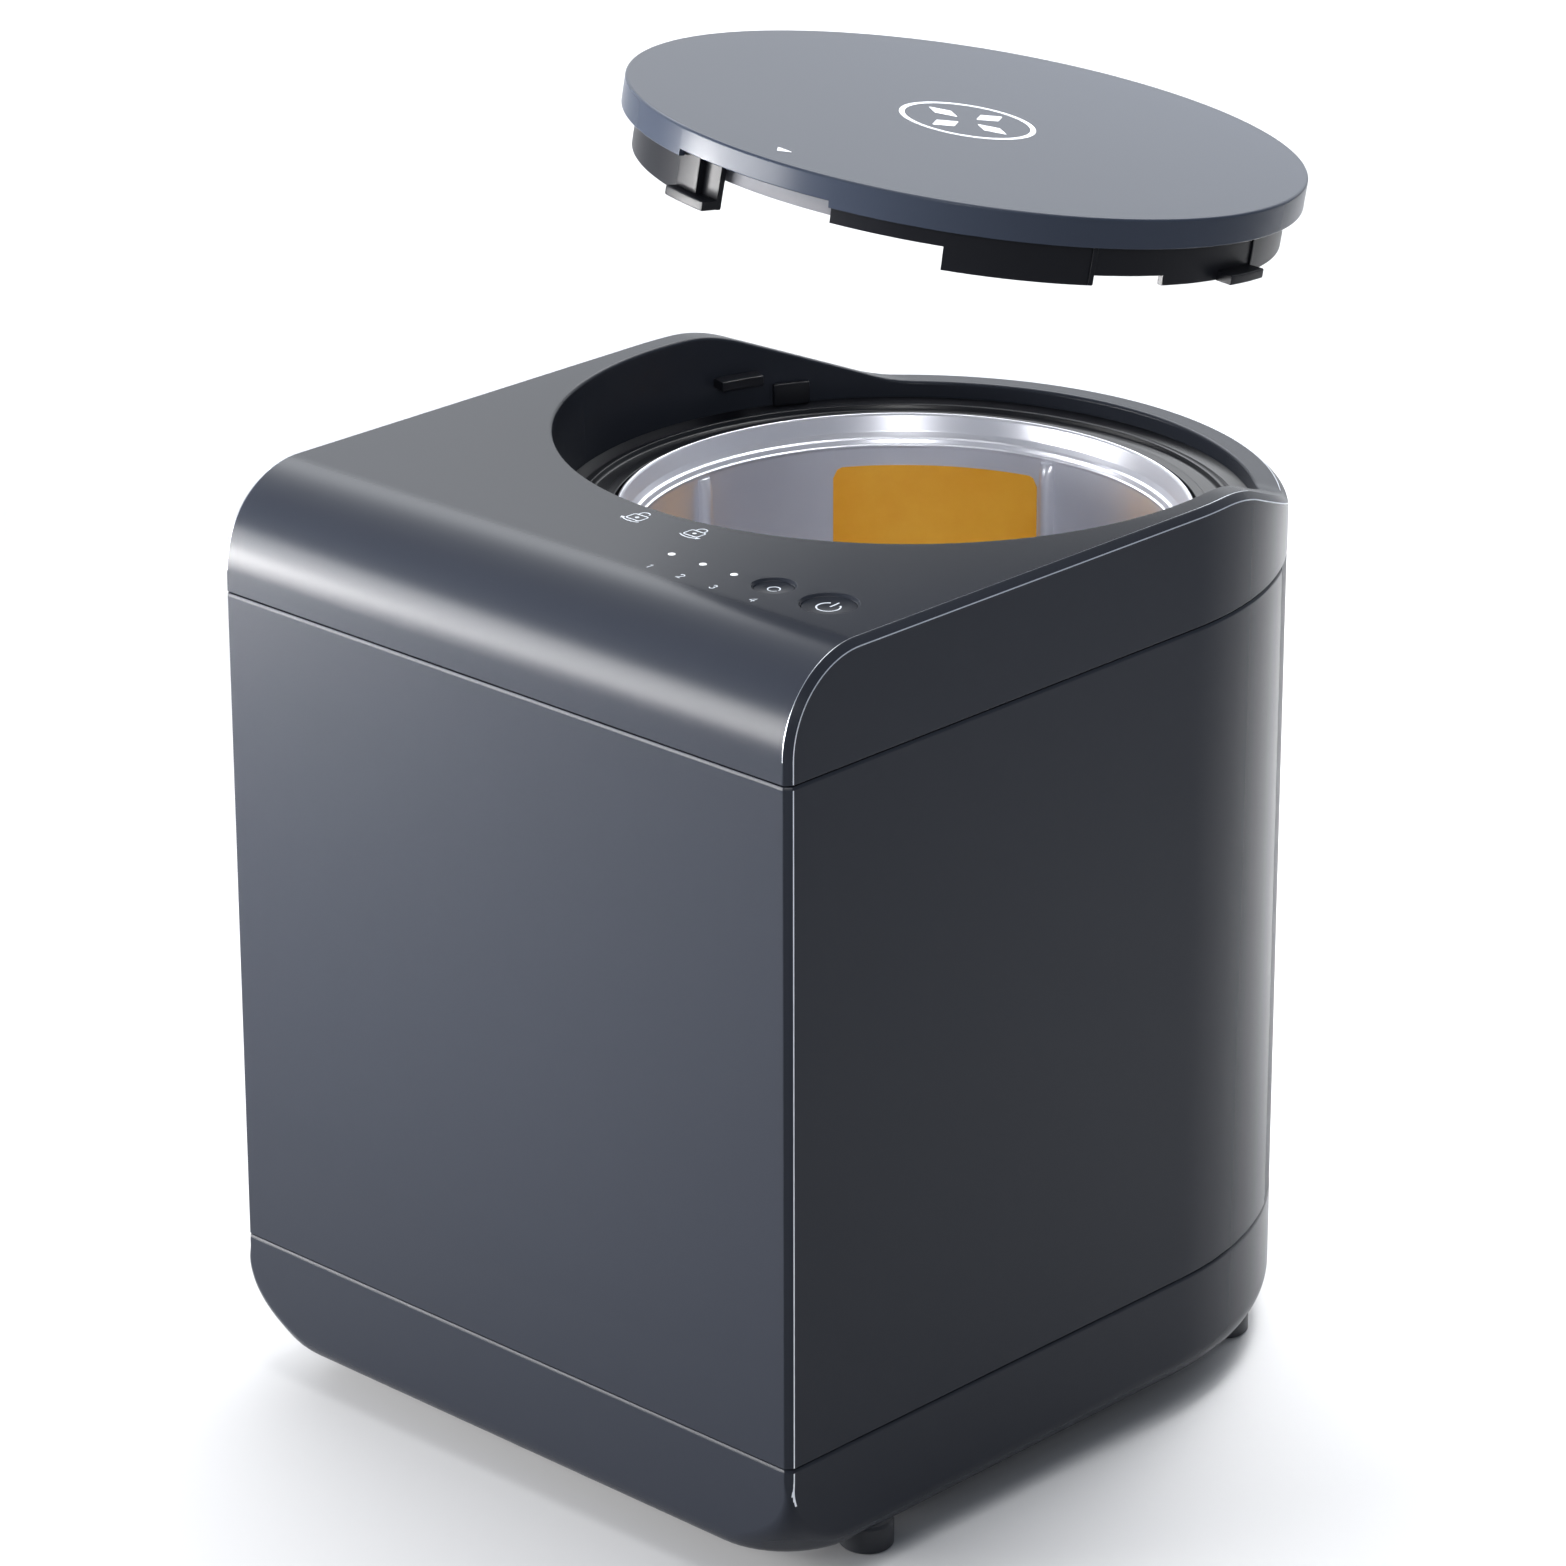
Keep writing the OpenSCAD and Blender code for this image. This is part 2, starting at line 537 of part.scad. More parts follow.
module tact_switches() on_floor() { color([0.1, 0.1, 0.1]) for (p = [power_p, reset_p]) { translate([p[0] - 3, p[1] - 3, 338.6]) cube([6, 6, 3.4]); translate([p[0], p[1], 341.9]) cylinder(r = 1.7, h = 1.1, $fn = 32); } }
module led_lenses() on_floor() { color([0.9, 0.92, 0.95]) for (p = leds) translate([p[0], p[1], 338.6]) { cylinder(r = 2.4, h = 4, $fn = 32); cylinder(r = led_r, h = H - 338.6 + 0.05, $fn = 32); } }
module hall_sensor() on_floor() { color([0.1, 0.1, 0.1]) translate([-4, -104, 338]) cube([8, 4, 10]); }
module button(p, r, icon_r) {
  translate([p[0], p[1], 0]) difference() {
    union() {
      translate([0, 0, 345.4]) cylinder(r = r, h = H - 345.4 - 1.05);
      translate([0, 0, 344.4]) cylinder(r = 3, h = 2, $fn = 32);
    }
    translate([0, 0, H - 1.4 + r * 6]) sphere(r = r * 6, $fn = 128);
  }
}
module power_button() on_floor() { color(slate) button(power_p, power_r, 3); }
module reset_button() on_floor() { color(slate) button(reset_p, reset_r, 2); }

/* ---- bucket ---- */
module bucket() on_floor() {
  color(steel) at_axis() difference() {
    rotate_extrude($fn = 144) polygon([[11.9, 126], [80, 126], [80, 120.1], [84, 120.1], [84, 126], [92, 126], [97.5, 132], [97.5, 311],
      [99.4, 314.5], [100.6, 320.5], [bucket_r, 321.5], [bucket_r, bucket_top - 0.6], [bucket_r - 0.6, bucket_top],
      [bucket_r - 1.2, bucket_top], [99.2, 317.6], [97.6, 315.8], [95.2, 315.2], [95.2, 313.4], [96, 312.6], [96, 133], [91, 129], [11.9, 129]]);
  }
}
module bucket_bush() on_floor() { color([0.8, 0.7, 0.5]) at_axis() difference() { union() { translate([0, 0, 124.6]) cylinder(r = 11.85, h = 7, $fn = 64); translate([0, 0, 129.05]) cylinder(r = 15, h = 3, $fn = 64); } translate([0, 0, 100]) cylinder(r = 8.3, h = 50, $fn = 64); } }
module bucket_ribs() on_floor() {
  color(steel) at_axis() for (a = [99.7, -178, -40]) rotate(a) difference() {
    intersection() { translate([92, -3, 190]) cube([6, 6, 122.4]); cylinder(r = 96, h = 400, $fn = 144); }
    translate([92, -5, 312.4]) rotate([0, 45, 0]) cube([6, 10, 6], center = true);
  }
}
module bucket_label() on_floor() { color([0.9, 0.62, 0.15]) at_axis() intersection() { difference() { translate([0, 0, 250]) cylinder(r = 96, h = 56, $fn = 144); translate([0, 0, 200]) cylinder(r = 95.6, h = 150, $fn = 144); } sector(102.3, 148.5, 140, 400); } }

/* ---- stirring auger ---- */
module auger() on_floor() {
  color(steel) at_axis() difference() {
    union() {
      translate([0, 0, 125]) cylinder(r = 8.2, h = 10, $fn = 64);
      translate([0, 0, 132.4]) cylinder(r = 15, h = 30, $fn = 64);
      translate([0, 0, 162.3]) cylinder(r1 = 15, r2 = 9, h = 8, $fn = 64);
      translate([0, 0, 170]) cylinder(r = 5, h = 6, $fn = 48);
    }
    translate([0, 0, 120]) cylinder(r = 6.35, h = 18, $fn = 6);
  }
}
module auger_blades() on_floor() {
  color([0.66, 0.66, 0.7]) at_axis() for (k = [0 : 2]) rotate(k * 120 + 15) union() {
    difference() { translate([10, -5, 134]) cube([76, 10, 7]); cylinder(r = 15.02, h = 400, $fn = 64); }
    translate([70, -2.5, 134]) rotate([0, 0, 20]) cube([16, 5, 26 + 12 * k]);
    translate([38, -2.5, 140]) rotate([0, 0, -20]) cube([12, 5, 16]);
  }
}
module auger_cap() on_floor() { color(steel) at_axis() difference() { translate([0, 0, 170.4]) cylinder(r = 8, h = 9, $fn = 6); translate([0, 0, 160]) cylinder(r = 5.05, h = 16.2, $fn = 48); } }

/* ---- lid, drawn with its top face's centre at the origin ---- */
module place_lid() { translate(hover) rotate(a = lid_tilt, v = tilt_ax) children(); }
module lring(r1, r2, z0, z1) { translate([0, 0, z0]) difference() { cylinder(r = r2, h = z1 - z0, $fn = 180); translate([0, 0, -1]) cylinder(r = r1, h = z1 - z0 + 2, $fn = 180); } }
module lsector(a0, a1, z0, z1, r = 140) { translate([0, 0, z0]) sector(a0, a1, r, z1 - z0); }
module badge2d() {
  difference() { circle(r = 24); circle(r = 22); }
  for (a = [0, 90, 180, 270]) rotate(a) translate([11.5, 0]) polygon([[-7, 0], [0, -4.2], [7, 0], [0, 4.2]]);
}
module lid_cover() on_floor() {
  color([0.52, 0.53, 0.56]) place_lid() difference() {
    union() {
      translate([0, 0, -band_h]) cylinder(r = lid_r, h = band_h - 0.8, $fn = 180);
      translate([0, 0, -0.8]) cylinder(r1 = lid_r, r2 = lid_r - 0.8, h = 0.8, $fn = 180);
    }
    translate([0, 0, -band_h - 1]) cylinder(r = lid_r - 2.4, h = band_h - 1.6, $fn = 180);
    lsector(-102, -70.3, -band_h - 1, -band_h + 2.3);
    translate([0, 0, -0.5]) linear_extrude(height = 1) badge2d();
    translate([9.3, -104, -0.4]) linear_extrude(height = 1) polygon([[-3.4, 1.6], [3.4, 1.6], [0, -2.6]]);
  }
}
module lid_skirt() on_floor() {
  color(black) place_lid() {
    difference() {
      union() {
        lring(111.2, 113.6, -skirt_h, -2.7);
        lring(106, 116.6, -5.2, -2.7);
      }
      lsector(-94, -70.7, -30, -9);
      lsector(-70.8, -50.8, -30, -17);
      lsector(-24.4, -10.5, -30, -21.5);
    }
    // bayonet lugs
    for (a = lug_a) intersection() {
      lring(113.5, 120, -skirt_h, -skirt_h + 3.4);
      lsector(a - 5, a + 5, -30, 0);
    }
    intersection() { lring(113.5, 116.4, -skirt_h, -5); lsector(-104, -98, -30, 0); }
  }
}
module lid_badge() on_floor() { color([0.86, 0.87, 0.9]) place_lid() translate([0, 0, -0.5]) linear_extrude(height = 0.6) badge2d(); }
module lid_mark() on_floor() { color([0.95, 0.95, 0.97]) place_lid() translate([9.3, -104, -0.4]) linear_extrude(height = 0.5) polygon([[-3.4, 1.6], [3.4, 1.6], [0, -2.6]]); }
module lid_liner() on_floor() {
  color([0.2, 0.2, 0.22]) place_lid() difference() {
    union() {
      translate([0, 0, -14]) cylinder(r = 104, h = 2.4, $fn = 144);
      lring(98, 104, -12, -6.5);
      translate([0, 0, -14]) cylinder(r = 9, h = 10.8, $fn = 64);
    }
    translate([0, 0, -8.6]) sphere(r = 4.5, $fn = 48);
    translate([0, 0, -20]) cylinder(r = 2, h = 12, $fn = 32);
  }
}
module lid_gasket() on_floor() { color([0.35, 0.35, 0.37]) place_lid() union() { lring(104.05, 107.4, -13.4, -11.6); lring(107.3, 109.4, -15.4, -9.5); } }
module vent_ball() on_floor() { color(steel) translate(hover) rotate(a = lid_tilt, v = tilt_ax) translate([0, 0, -8.6]) sphere(r = 4.1, $fn = 48); }

bottom_shell();
base_pan();
feet();
foot_screws();
mid_shell();
rear_panel();
top_cover();
lid_collar();
lid_catches();
bucket_well();
heater_plate();
heating_element();
thermostat();
shaft_seal();
well_posts();
chassis_plate();
chassis_posts();
chassis_screws();
gearbox_housing();
gearbox_cover();
drive_motor();
idler_axle();
shaft_bearings();
fan_housing();
fan_motor();
exhaust_duct();
filter_box();
power_inlet();
inlet_pins();
main_board();
board_parts();
board_posts();
control_board();
tact_switches();
led_lenses();
hall_sensor();
motor_pinion();
idler_gear();
output_gear();
drive_shaft();
fan_impeller();
filter_tray();
carbon_filter();
filter_door();
power_button();
reset_button();
bucket();
bucket_bush();
bucket_ribs();
bucket_label();
auger();
auger_blades();
auger_cap();
lid_cover();
lid_skirt();
lid_badge();
lid_mark();
lid_liner();
lid_gasket();
vent_ball();
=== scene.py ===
"""Looks of a countertop electric food waste composter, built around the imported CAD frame.

All shapes are written in millimetres, with heights measured from a datum DROP below the floor, as in the
CAD source; piece() takes the datum off and scales to metres.
"""

import json
import math
from math import sin, cos, tan, radians, degrees, sqrt, pi, hypot, atan2

import bpy
import bmesh
from mathutils import Vector, Matrix


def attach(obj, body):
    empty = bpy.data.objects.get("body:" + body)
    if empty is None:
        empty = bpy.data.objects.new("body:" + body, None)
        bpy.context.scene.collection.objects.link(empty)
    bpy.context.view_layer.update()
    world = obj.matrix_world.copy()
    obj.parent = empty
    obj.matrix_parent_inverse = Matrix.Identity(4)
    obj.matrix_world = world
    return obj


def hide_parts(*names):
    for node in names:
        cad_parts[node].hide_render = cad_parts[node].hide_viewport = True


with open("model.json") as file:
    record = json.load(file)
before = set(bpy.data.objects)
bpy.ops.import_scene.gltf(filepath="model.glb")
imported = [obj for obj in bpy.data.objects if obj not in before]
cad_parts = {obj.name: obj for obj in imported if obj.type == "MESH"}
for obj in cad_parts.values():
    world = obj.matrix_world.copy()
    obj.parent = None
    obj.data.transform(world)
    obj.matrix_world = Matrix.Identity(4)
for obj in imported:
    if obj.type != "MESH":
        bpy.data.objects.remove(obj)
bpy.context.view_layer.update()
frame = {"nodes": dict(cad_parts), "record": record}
NODES = frame["nodes"]

# ---------------------------------------------------------------- sizes, mm
W, Y0, YC, H = 135.0, -168.5, 33.5, 354.0
R_TOP, R_BOT = 34.0, 62.0
SEAM_LO, SEAM_HI, GAP = 66.0, 311.7, 0.5
WALL = 2.6
OPEN_R, COLLAR_Z = 124.0, 323.0
HOVER = Vector((14.0, 49.1, 463.9))
LID = Matrix.Translation(HOVER) @ Matrix.Rotation(radians(8.94), 4, Vector((-0.8651, 0.5017, 0.0)).normalized())
LID_R, BAND = 119.3, 10.5
DROP = Vector((0.0, 0.0, 12.5))
ZB, ROLL = 24.5, 10.0                 # underside of the body, roll under its faces
EDGE_C, EDGE_Q, SEAM_LIP = 2.4, 0.8, 0.42
POWER, RESET = (105.3, -117.8, 9.3), (80.5, -117.8, 6.8)
LEDS = [(34.8, -119.1), (49.3, -119.1), (63.7, -119.2)]


def lin(a, b, n):
    return [a + (b - a) * k / n for k in range(n + 1)]


# ---------------------------------------------------------------- materials
def srgb(r, g, b):
    f = lambda c: c / 12.92 if c <= 0.04045 else ((c + 0.055) / 1.055) ** 2.4
    return (f(r / 255), f(g / 255), f(b / 255), 1.0)


class Mat:
    """A small wrapper that builds node materials."""

    def __init__(self, name):
        self.m = bpy.data.materials.new(name)
        self.m.use_nodes = True
        self.t = self.m.node_tree
        self.b = self.t.nodes["Principled BSDF"]
        self.co = self.t.nodes.new("ShaderNodeTexCoord")

    def n(self, kind, **kw):
        x = self.t.nodes.new(kind)
        for k, v in kw.items():
            if k.startswith("i_"):
                x.inputs[k[2:].replace("_", " ")].default_value = v
            else:
                setattr(x, k, v)
        return x

    def link(self, a, b):
        self.t.links.new(a, b)

    def noise(self, scale, detail=4.0, rough=0.55, stretch=None):
        src = self.co.outputs["Object"]
        if stretch:
            mp = self.n("ShaderNodeMapping")
            mp.inputs["Scale"].default_value = stretch
            self.link(src, mp.inputs["Vector"])
            src = mp.outputs["Vector"]
        x = self.n("ShaderNodeTexNoise")
        x.inputs["Scale"].default_value = scale
        x.inputs["Detail"].default_value = detail
        x.inputs["Roughness"].default_value = rough
        self.link(src, x.inputs["Vector"])
        return x.outputs["Fac"]

    def remap(self, fac, lo, hi, a=0.0, b=1.0):
        x = self.n("ShaderNodeMapRange")
        x.inputs["From Min"].default_value = a
        x.inputs["From Max"].default_value = b
        x.inputs["To Min"].default_value = lo
        x.inputs["To Max"].default_value = hi
        self.link(fac, x.inputs["Value"])
        return x.outputs["Result"]

    def ramp(self, fac, stops):
        x = self.n("ShaderNodeValToRGB")
        e = x.color_ramp.elements
        while len(e) < len(stops):
            e.new(0.5)
        for k, (p, c) in enumerate(stops):
            e[k].position = p
            e[k].color = c
        self.link(fac, x.inputs["Fac"])
        return x.outputs["Color"]

    def bump(self, fac, height, strength=1.0, prev=None):
        x = self.n("ShaderNodeBump")
        x.inputs["Strength"].default_value = strength
        x.inputs["Distance"].default_value = height
        self.link(fac, x.inputs["Height"])
        if prev is not None:
            self.link(prev, x.inputs["Normal"])
        return x.outputs["Normal"]

    def set(self, **kw):
        for k, v in kw.items():
            self.b.inputs[k.replace("_", " ")].default_value = v
        return self


def scale_c(c, k):
    return (min(1, c[0] * k), min(1, c[1] * k), min(1, c[2] * k), 1.0)


def moulded(name, col, rough=0.38, spec=0.35, coat=0.0, coat_rough=0.15, grain=0.000012, vary=0.06, metal=0.0,
            grain_scale=2600.0, gloss=0.03):
    """Moulded plastic: soft mottling of colour and gloss, and a very fine spark-eroded grain."""
    m = Mat(name)
    big = m.noise(9.0, 3.0, 0.6)
    mid = m.noise(70.0, 4.0, 0.6)
    mix = m.n("ShaderNodeMath", operation="MULTIPLY")
    m.link(big, mix.inputs[0])
    m.link(mid, mix.inputs[1])
    m.link(m.ramp(mix.outputs[0], [(0.10, scale_c(col, 1 - vary)), (0.42, scale_c(col, 1 + vary))]), m.b.inputs["Base Color"])
    m.link(m.remap(mid, rough - gloss, rough + gloss), m.b.inputs["Roughness"])
    fine = m.noise(grain_scale, 2.0, 0.5)
    m.link(m.bump(fine, grain, 0.5), m.b.inputs["Normal"])
    m.set(IOR=1.5, Specular_IOR_Level=spec, Metallic=metal, Coat_Weight=coat, Coat_Roughness=coat_rough)
    return m.m


def metal(name, col, rough=0.3, stretch=None, grain=0.000008, vary=0.05, scale=260.0, aniso=0.0, metallic=1.0, coat=0.0):
    """Bare or coated metal with drawn or cast grain."""
    m = Mat(name)
    g = m.noise(scale, 5.0, 0.6, stretch)
    cloud = m.noise(18.0, 3.0, 0.6)
    m.link(m.ramp(cloud, [(0.30, scale_c(col, 1 - vary)), (0.72, scale_c(col, 1 + vary))]), m.b.inputs["Base Color"])
    m.link(m.remap(g, rough - 0.07, rough + 0.09), m.b.inputs["Roughness"])
    m.link(m.bump(g, grain, 0.6), m.b.inputs["Normal"])
    m.set(Metallic=metallic, Anisotropic=aniso, Coat_Weight=coat, Coat_Roughness=0.12)
    return m.m


SLATE = srgb(36, 39, 46)
M = {}
M["slate_body"] = moulded("slate_body", SLATE, 0.27, 0.10, vary=0.012, grain=0.000006, gloss=0.004)
M["slate_rear"] = moulded("slate_rear", scale_c(SLATE, 0.86), 0.44, 0.14, vary=0.05, grain=0.00004, grain_scale=900)
M["slate_buttons"] = moulded("slate_buttons", scale_c(SLATE, 0.9), 0.28, 0.10, vary=0.02, gloss=0.006)
M["base_black"] = moulded("base_black", srgb(44, 46, 51), 0.5, 0.35, vary=0.12, grain=0.00003, grain_scale=1200)
M["foot_rubber"] = moulded("foot_rubber", srgb(40, 42, 47), 0.42, 0.4, vary=0.18, grain=0.00002, grain_scale=1500)
M["fastener_steel"] = metal("fastener_steel", (0.62, 0.62, 0.65, 1), 0.25, scale=700)
M["collar_black"] = moulded("collar_black", srgb(22, 23, 27), 0.30, 0.22, vary=0.12)
M["well_aluminium"] = metal("well_aluminium", (0.56, 0.57, 0.59, 1), 0.38, stretch=(1, 1, 14), scale=180)
M["heater_coil"] = metal("heater_coil", (0.30, 0.20, 0.17, 1), 0.55, metallic=0.6, vary=0.3)
M["black_parts"] = moulded("black_parts", srgb(62, 63, 68), 0.55, 0.35, vary=0.12, grain=0.00003, grain_scale=1100)
M["seal_red"] = moulded("seal_red", srgb(176, 62, 38), 0.6, 0.3, vary=0.12)
M["chassis_steel"] = metal("chassis_steel", (0.58, 0.60, 0.62, 1), 0.42, vary=0.10, scale=120)
M["post_nylon"] = moulded("post_nylon", srgb(222, 220, 212), 0.5, 0.4, vary=0.05)
M["motor_can"] = metal("motor_can", (0.60, 0.61, 0.64, 1), 0.34, stretch=(1, 1, 10), scale=160)
M["board_green"] = moulded("board_green", srgb(24, 92, 58), 0.34, 0.5, vary=0.22, grain=0.00002, grain_scale=500)
M["board_components"] = moulded("board_components", srgb(38, 40, 58), 0.4, 0.45, vary=0.25)
M["light_pipe"] = moulded("light_pipe", srgb(236, 238, 240), 0.22, 0.5, vary=0.03)
M["pinion_brass"] = metal("pinion_brass", (0.78, 0.60, 0.28, 1), 0.28, scale=500)
M["gear_nylon"] = moulded("gear_nylon", srgb(228, 226, 214), 0.42, 0.4, vary=0.06)
M["gear_steel"] = metal("gear_steel", (0.60, 0.61, 0.63, 1), 0.33, scale=400, vary=0.12)
M["fan_blue"] = moulded("fan_blue", srgb(46, 52, 66), 0.4, 0.4, vary=0.12)
M["tray_grey"] = moulded("tray_grey", srgb(78, 81, 86), 0.5, 0.35, vary=0.08)
M["lid_black"] = moulded("lid_black", srgb(22, 23, 27), 0.34, 0.09, vary=0.10)
# the lid's plastic: the slate body colour made lighter and bluer, painted brightness for the light falling on the lid
# top
M["lid_grey"] = moulded("lid_grey", srgb(47, 53, 65), 0.26, 0.12, vary=0.012, grain=0.000006, gloss=0.004)
M["badge_silver"] = metal("badge_silver", (0.62, 0.63, 0.66, 1), 0.40, scale=600, metallic=0.25)
# a bright metal finish for bevel corner faces: painted highlight lines along the slate edges, not a finish of the
# plastic
M["edge_highlight_paint"] = metal("edge_highlight_paint", (0.60, 0.63, 0.68, 1), 0.30, scale=900, vary=0.03)
M["mark_white"] = moulded("mark_white", srgb(226, 228, 232), 0.5, 0.4, vary=0.03)
M["liner_grey"] = moulded("liner_grey", srgb(66, 68, 73), 0.42, 0.4, vary=0.08)
M["gasket_grey"] = moulded("gasket_grey", srgb(92, 93, 98), 0.68, 0.3, vary=0.10)
M["bush_bronze"] = metal("bush_bronze", (0.60, 0.46, 0.26, 1), 0.35, scale=500, vary=0.15)
M["auger_steel"] = metal("auger_steel", (0.56, 0.56, 0.59, 1), 0.36, vary=0.12, scale=220)


def bucket_metal():
    """Cast aluminium with a pale smooth coating: turning marks round the axis and soft clouding."""
    m = Mat("bucket_metal")
    lines = m.noise(90.0, 4.0, 0.7, (0.5, 0.5, 22.0))
    cloud = m.noise(14.0, 3.0, 0.6)
    m.link(m.ramp(cloud, [(0.32, srgb(212, 213, 221)), (0.70, srgb(226, 227, 234))]), m.b.inputs["Base Color"])
    m.link(m.remap(lines, 0.27, 0.32), m.b.inputs["Roughness"])
    m.link(m.bump(lines, 0.000002, 0.3), m.b.inputs["Normal"])
    m.set(Metallic=0.55)
    return m.m


def carbon():
    """Pressed granules of activated carbon."""
    m = Mat("carbon")
    v = m.n("ShaderNodeTexVoronoi")
    v.inputs["Scale"].default_value = 420.0
    m.link(m.co.outputs["Object"], v.inputs["Vector"])
    m.link(m.ramp(v.outputs["Distance"], [(0.0, srgb(58, 58, 60)), (0.7, srgb(18, 18, 19))]), m.b.inputs["Base Color"])
    m.link(m.bump(v.outputs["Distance"], 0.0006, 0.8), m.b.inputs["Normal"])
    m.set(Roughness=0.75)
    return m.m


def label_orange():
    """Orange coated foil patch, slightly mottled."""
    m = Mat("orange_label")
    c = m.noise(40.0, 4.0, 0.6)
    f = m.noise(900.0, 2.0, 0.5)
    m.link(m.ramp(c, [(0.3, srgb(244, 168, 34)), (0.7, srgb(252, 184, 52))]), m.b.inputs["Base Color"])
    m.link(m.remap(c, 0.30, 0.42), m.b.inputs["Roughness"])
    m.link(m.bump(f, 0.00002, 0.4), m.b.inputs["Normal"])
    m.set(Specular_IOR_Level=0.5)
    return m.m


M["bucket_metal"] = bucket_metal()
M["carbon"] = carbon()
M["orange_label"] = label_orange()
M["print_pale"] = moulded("print_pale", srgb(214, 220, 228), 0.55, 0.3, vary=0.03)

SLOT_OF = {s["node"]: s["material_slot"] for s in frame["record"]["subparts"]}


# ---------------------------------------------------------------- mesh maker
class Geo:
    def __init__(self):
        self.v, self.f, self.fills = [], [], []

    def add(self, pts):
        i = len(self.v)
        self.v.extend(tuple(p) for p in pts)
        return list(range(i, i + len(pts)))

    def band(self, a, b, closed=True):
        n = len(a)
        for k in range(n if closed else n - 1):
            j = (k + 1) % n
            self.f.append((a[k], a[j], b[j], b[k]))

    def fill(self, *loops):
        self.fills.append(loops)

    def rows(self, rows, closed=True):
        for a, b in zip(rows, rows[1:]):
            self.band(a, b, closed)

    def fan(self, a, c):
        for k in range(len(a)):
            self.f.append((a[k], a[(k + 1) % len(a)], c))


def finish_mesh(name, bm, body, mat, sharp=38.0, weighted=True, weld=2e-6):
    bmesh.ops.remove_doubles(bm, verts=bm.verts[:], dist=weld)
    bmesh.ops.dissolve_degenerate(bm, edges=bm.edges[:], dist=1e-7)
    loose = [v for v in bm.verts if not v.link_faces]
    bmesh.ops.delete(bm, geom=loose, context="VERTS")
    bmesh.ops.recalc_face_normals(bm, faces=bm.faces[:])
    for e in bm.edges:
        e.smooth = not (len(e.link_faces) == 2 and e.calc_face_angle(0.0) > radians(sharp))
    for f in bm.faces:
        f.smooth = True
    me = bpy.data.meshes.new(name)
    bm.to_mesh(me)
    bm.free()
    ob = bpy.data.objects.new(name, me)
    bpy.context.scene.collection.objects.link(ob)
    me.materials.append(mat)
    if weighted:
        w = ob.modifiers.new("normals", "WEIGHTED_NORMAL")
        w.keep_sharp = True
        w.weight = 90
    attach(ob, body)
    return ob


def piece(name, g, body, slot, nodes=(), matrix=None, **kw):
    bm = bmesh.new()
    vs = []
    for p in g.v:
        q = Vector(p)
        if matrix is not None:
            q = matrix @ q
        vs.append(bm.verts.new((q - DROP) * 0.001))
    bm.verts.index_update()
    for f in g.f:
        ids = []
        for i in f:
            if not ids or ids[-1] != i:
                ids.append(i)
        if len(set(ids)) >= 3:
            try:
                bm.faces.new([vs[i] for i in ids])
            except ValueError:
                pass
    for loops in g.fills:
        es = []
        for loop in loops:
            for k in range(len(loop)):
                a, b = vs[loop[k]], vs[loop[(k + 1) % len(loop)]]
                if (a.co - b.co).length < 1e-9:
                    continue
                es.append(bm.edges.get((a, b)) or bm.edges.new((a, b)))
        bmesh.ops.triangle_fill(bm, use_beauty=True, use_dissolve=False, edges=es)
    ob = finish_mesh(name, bm, body, M[slot] if isinstance(slot, str) else slot, **kw)
    if nodes:
        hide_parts(*nodes)
    return ob


def paint_edge_highlights(ob):
    """Paints highlight lines on the narrow softened corners of the bevels beside the side walls: those faces get a
    brighter metal finish that stands in for light reflected along the slate edges.
    """
    me = ob.data
    me.materials.append(M["edge_highlight_paint"])
    for f in me.polygons:
        x, y, z = f.center.x * 1000, f.center.y * 1000, f.center.z * 1000 + DROP.z
        if y < YC:
            side, nl = abs(x), abs(f.normal.x)
        else:
            side = hypot(x, y - YC)
            nl = abs(f.normal.x * x + f.normal.y * (y - YC)) / side
        top = z > H - R_TOP - 1
        upright = y < Y0 + 3.5 and abs(f.normal.z) < 0.05 and z > 50
        if (top or upright) and side > W - 0.45 and 0.85 < nl < 0.9985:
            f.material_index = 1
        elif top and W - 2.85 < side < W - 2.4 and 0.05 < nl < 0.2:
            f.material_index = 1


def rounded(poly, radii, n=5):
    """An open or closed profile with each corner turned into an arc of its radius."""
    out = []
    m = len(poly)
    for k in range(m):
        r = radii[k] if isinstance(radii, (list, tuple)) else radii
        p = Vector((poly[k][0], poly[k][1]))
        if r <= 0 or k in (0, m - 1):
            out.append((p.x, p.y))
            continue
        a = Vector(poly[k - 1][:2]) - p
        b = Vector(poly[(k + 1) % m][:2]) - p
        la, lb = a.length, b.length
        a.normalize()
        b.normalize()
        c = max(-1.0, min(1.0, a.dot(b)))
        half = math.acos(c) / 2
        if half > radians(89.5):
            out.append((p.x, p.y))
            continue
        t = min(r / tan(half), la * 0.49, lb * 0.49)
        rr = t * tan(half)
        centre = p + (a + b).normalized() * (rr / sin(half))
        s = p + a * t - centre
        e = p + b * t - centre
        ang = math.acos(max(-1, min(1, s.normalized().dot(e.normalized()))))
        sgn = 1 if s.x * e.y - s.y * e.x > 0 else -1
        for j in range(n + 1):
            th = sgn * ang * j / n
            out.append((centre.x + s.x * cos(th) - s.y * sin(th), centre.y + s.x * sin(th) + s.y * cos(th)))
    return out


def closed_rounded(poly, radii, n=5):
    """As rounded, for a closed outline."""
    m = len(poly)
    radii = radii if isinstance(radii, (list, tuple)) else [radii] * m
    ext = [poly[-1]] + list(poly) + [poly[0]]
    rad = [0] + list(radii) + [0]
    return rounded(ext, rad, n)[1:-1]


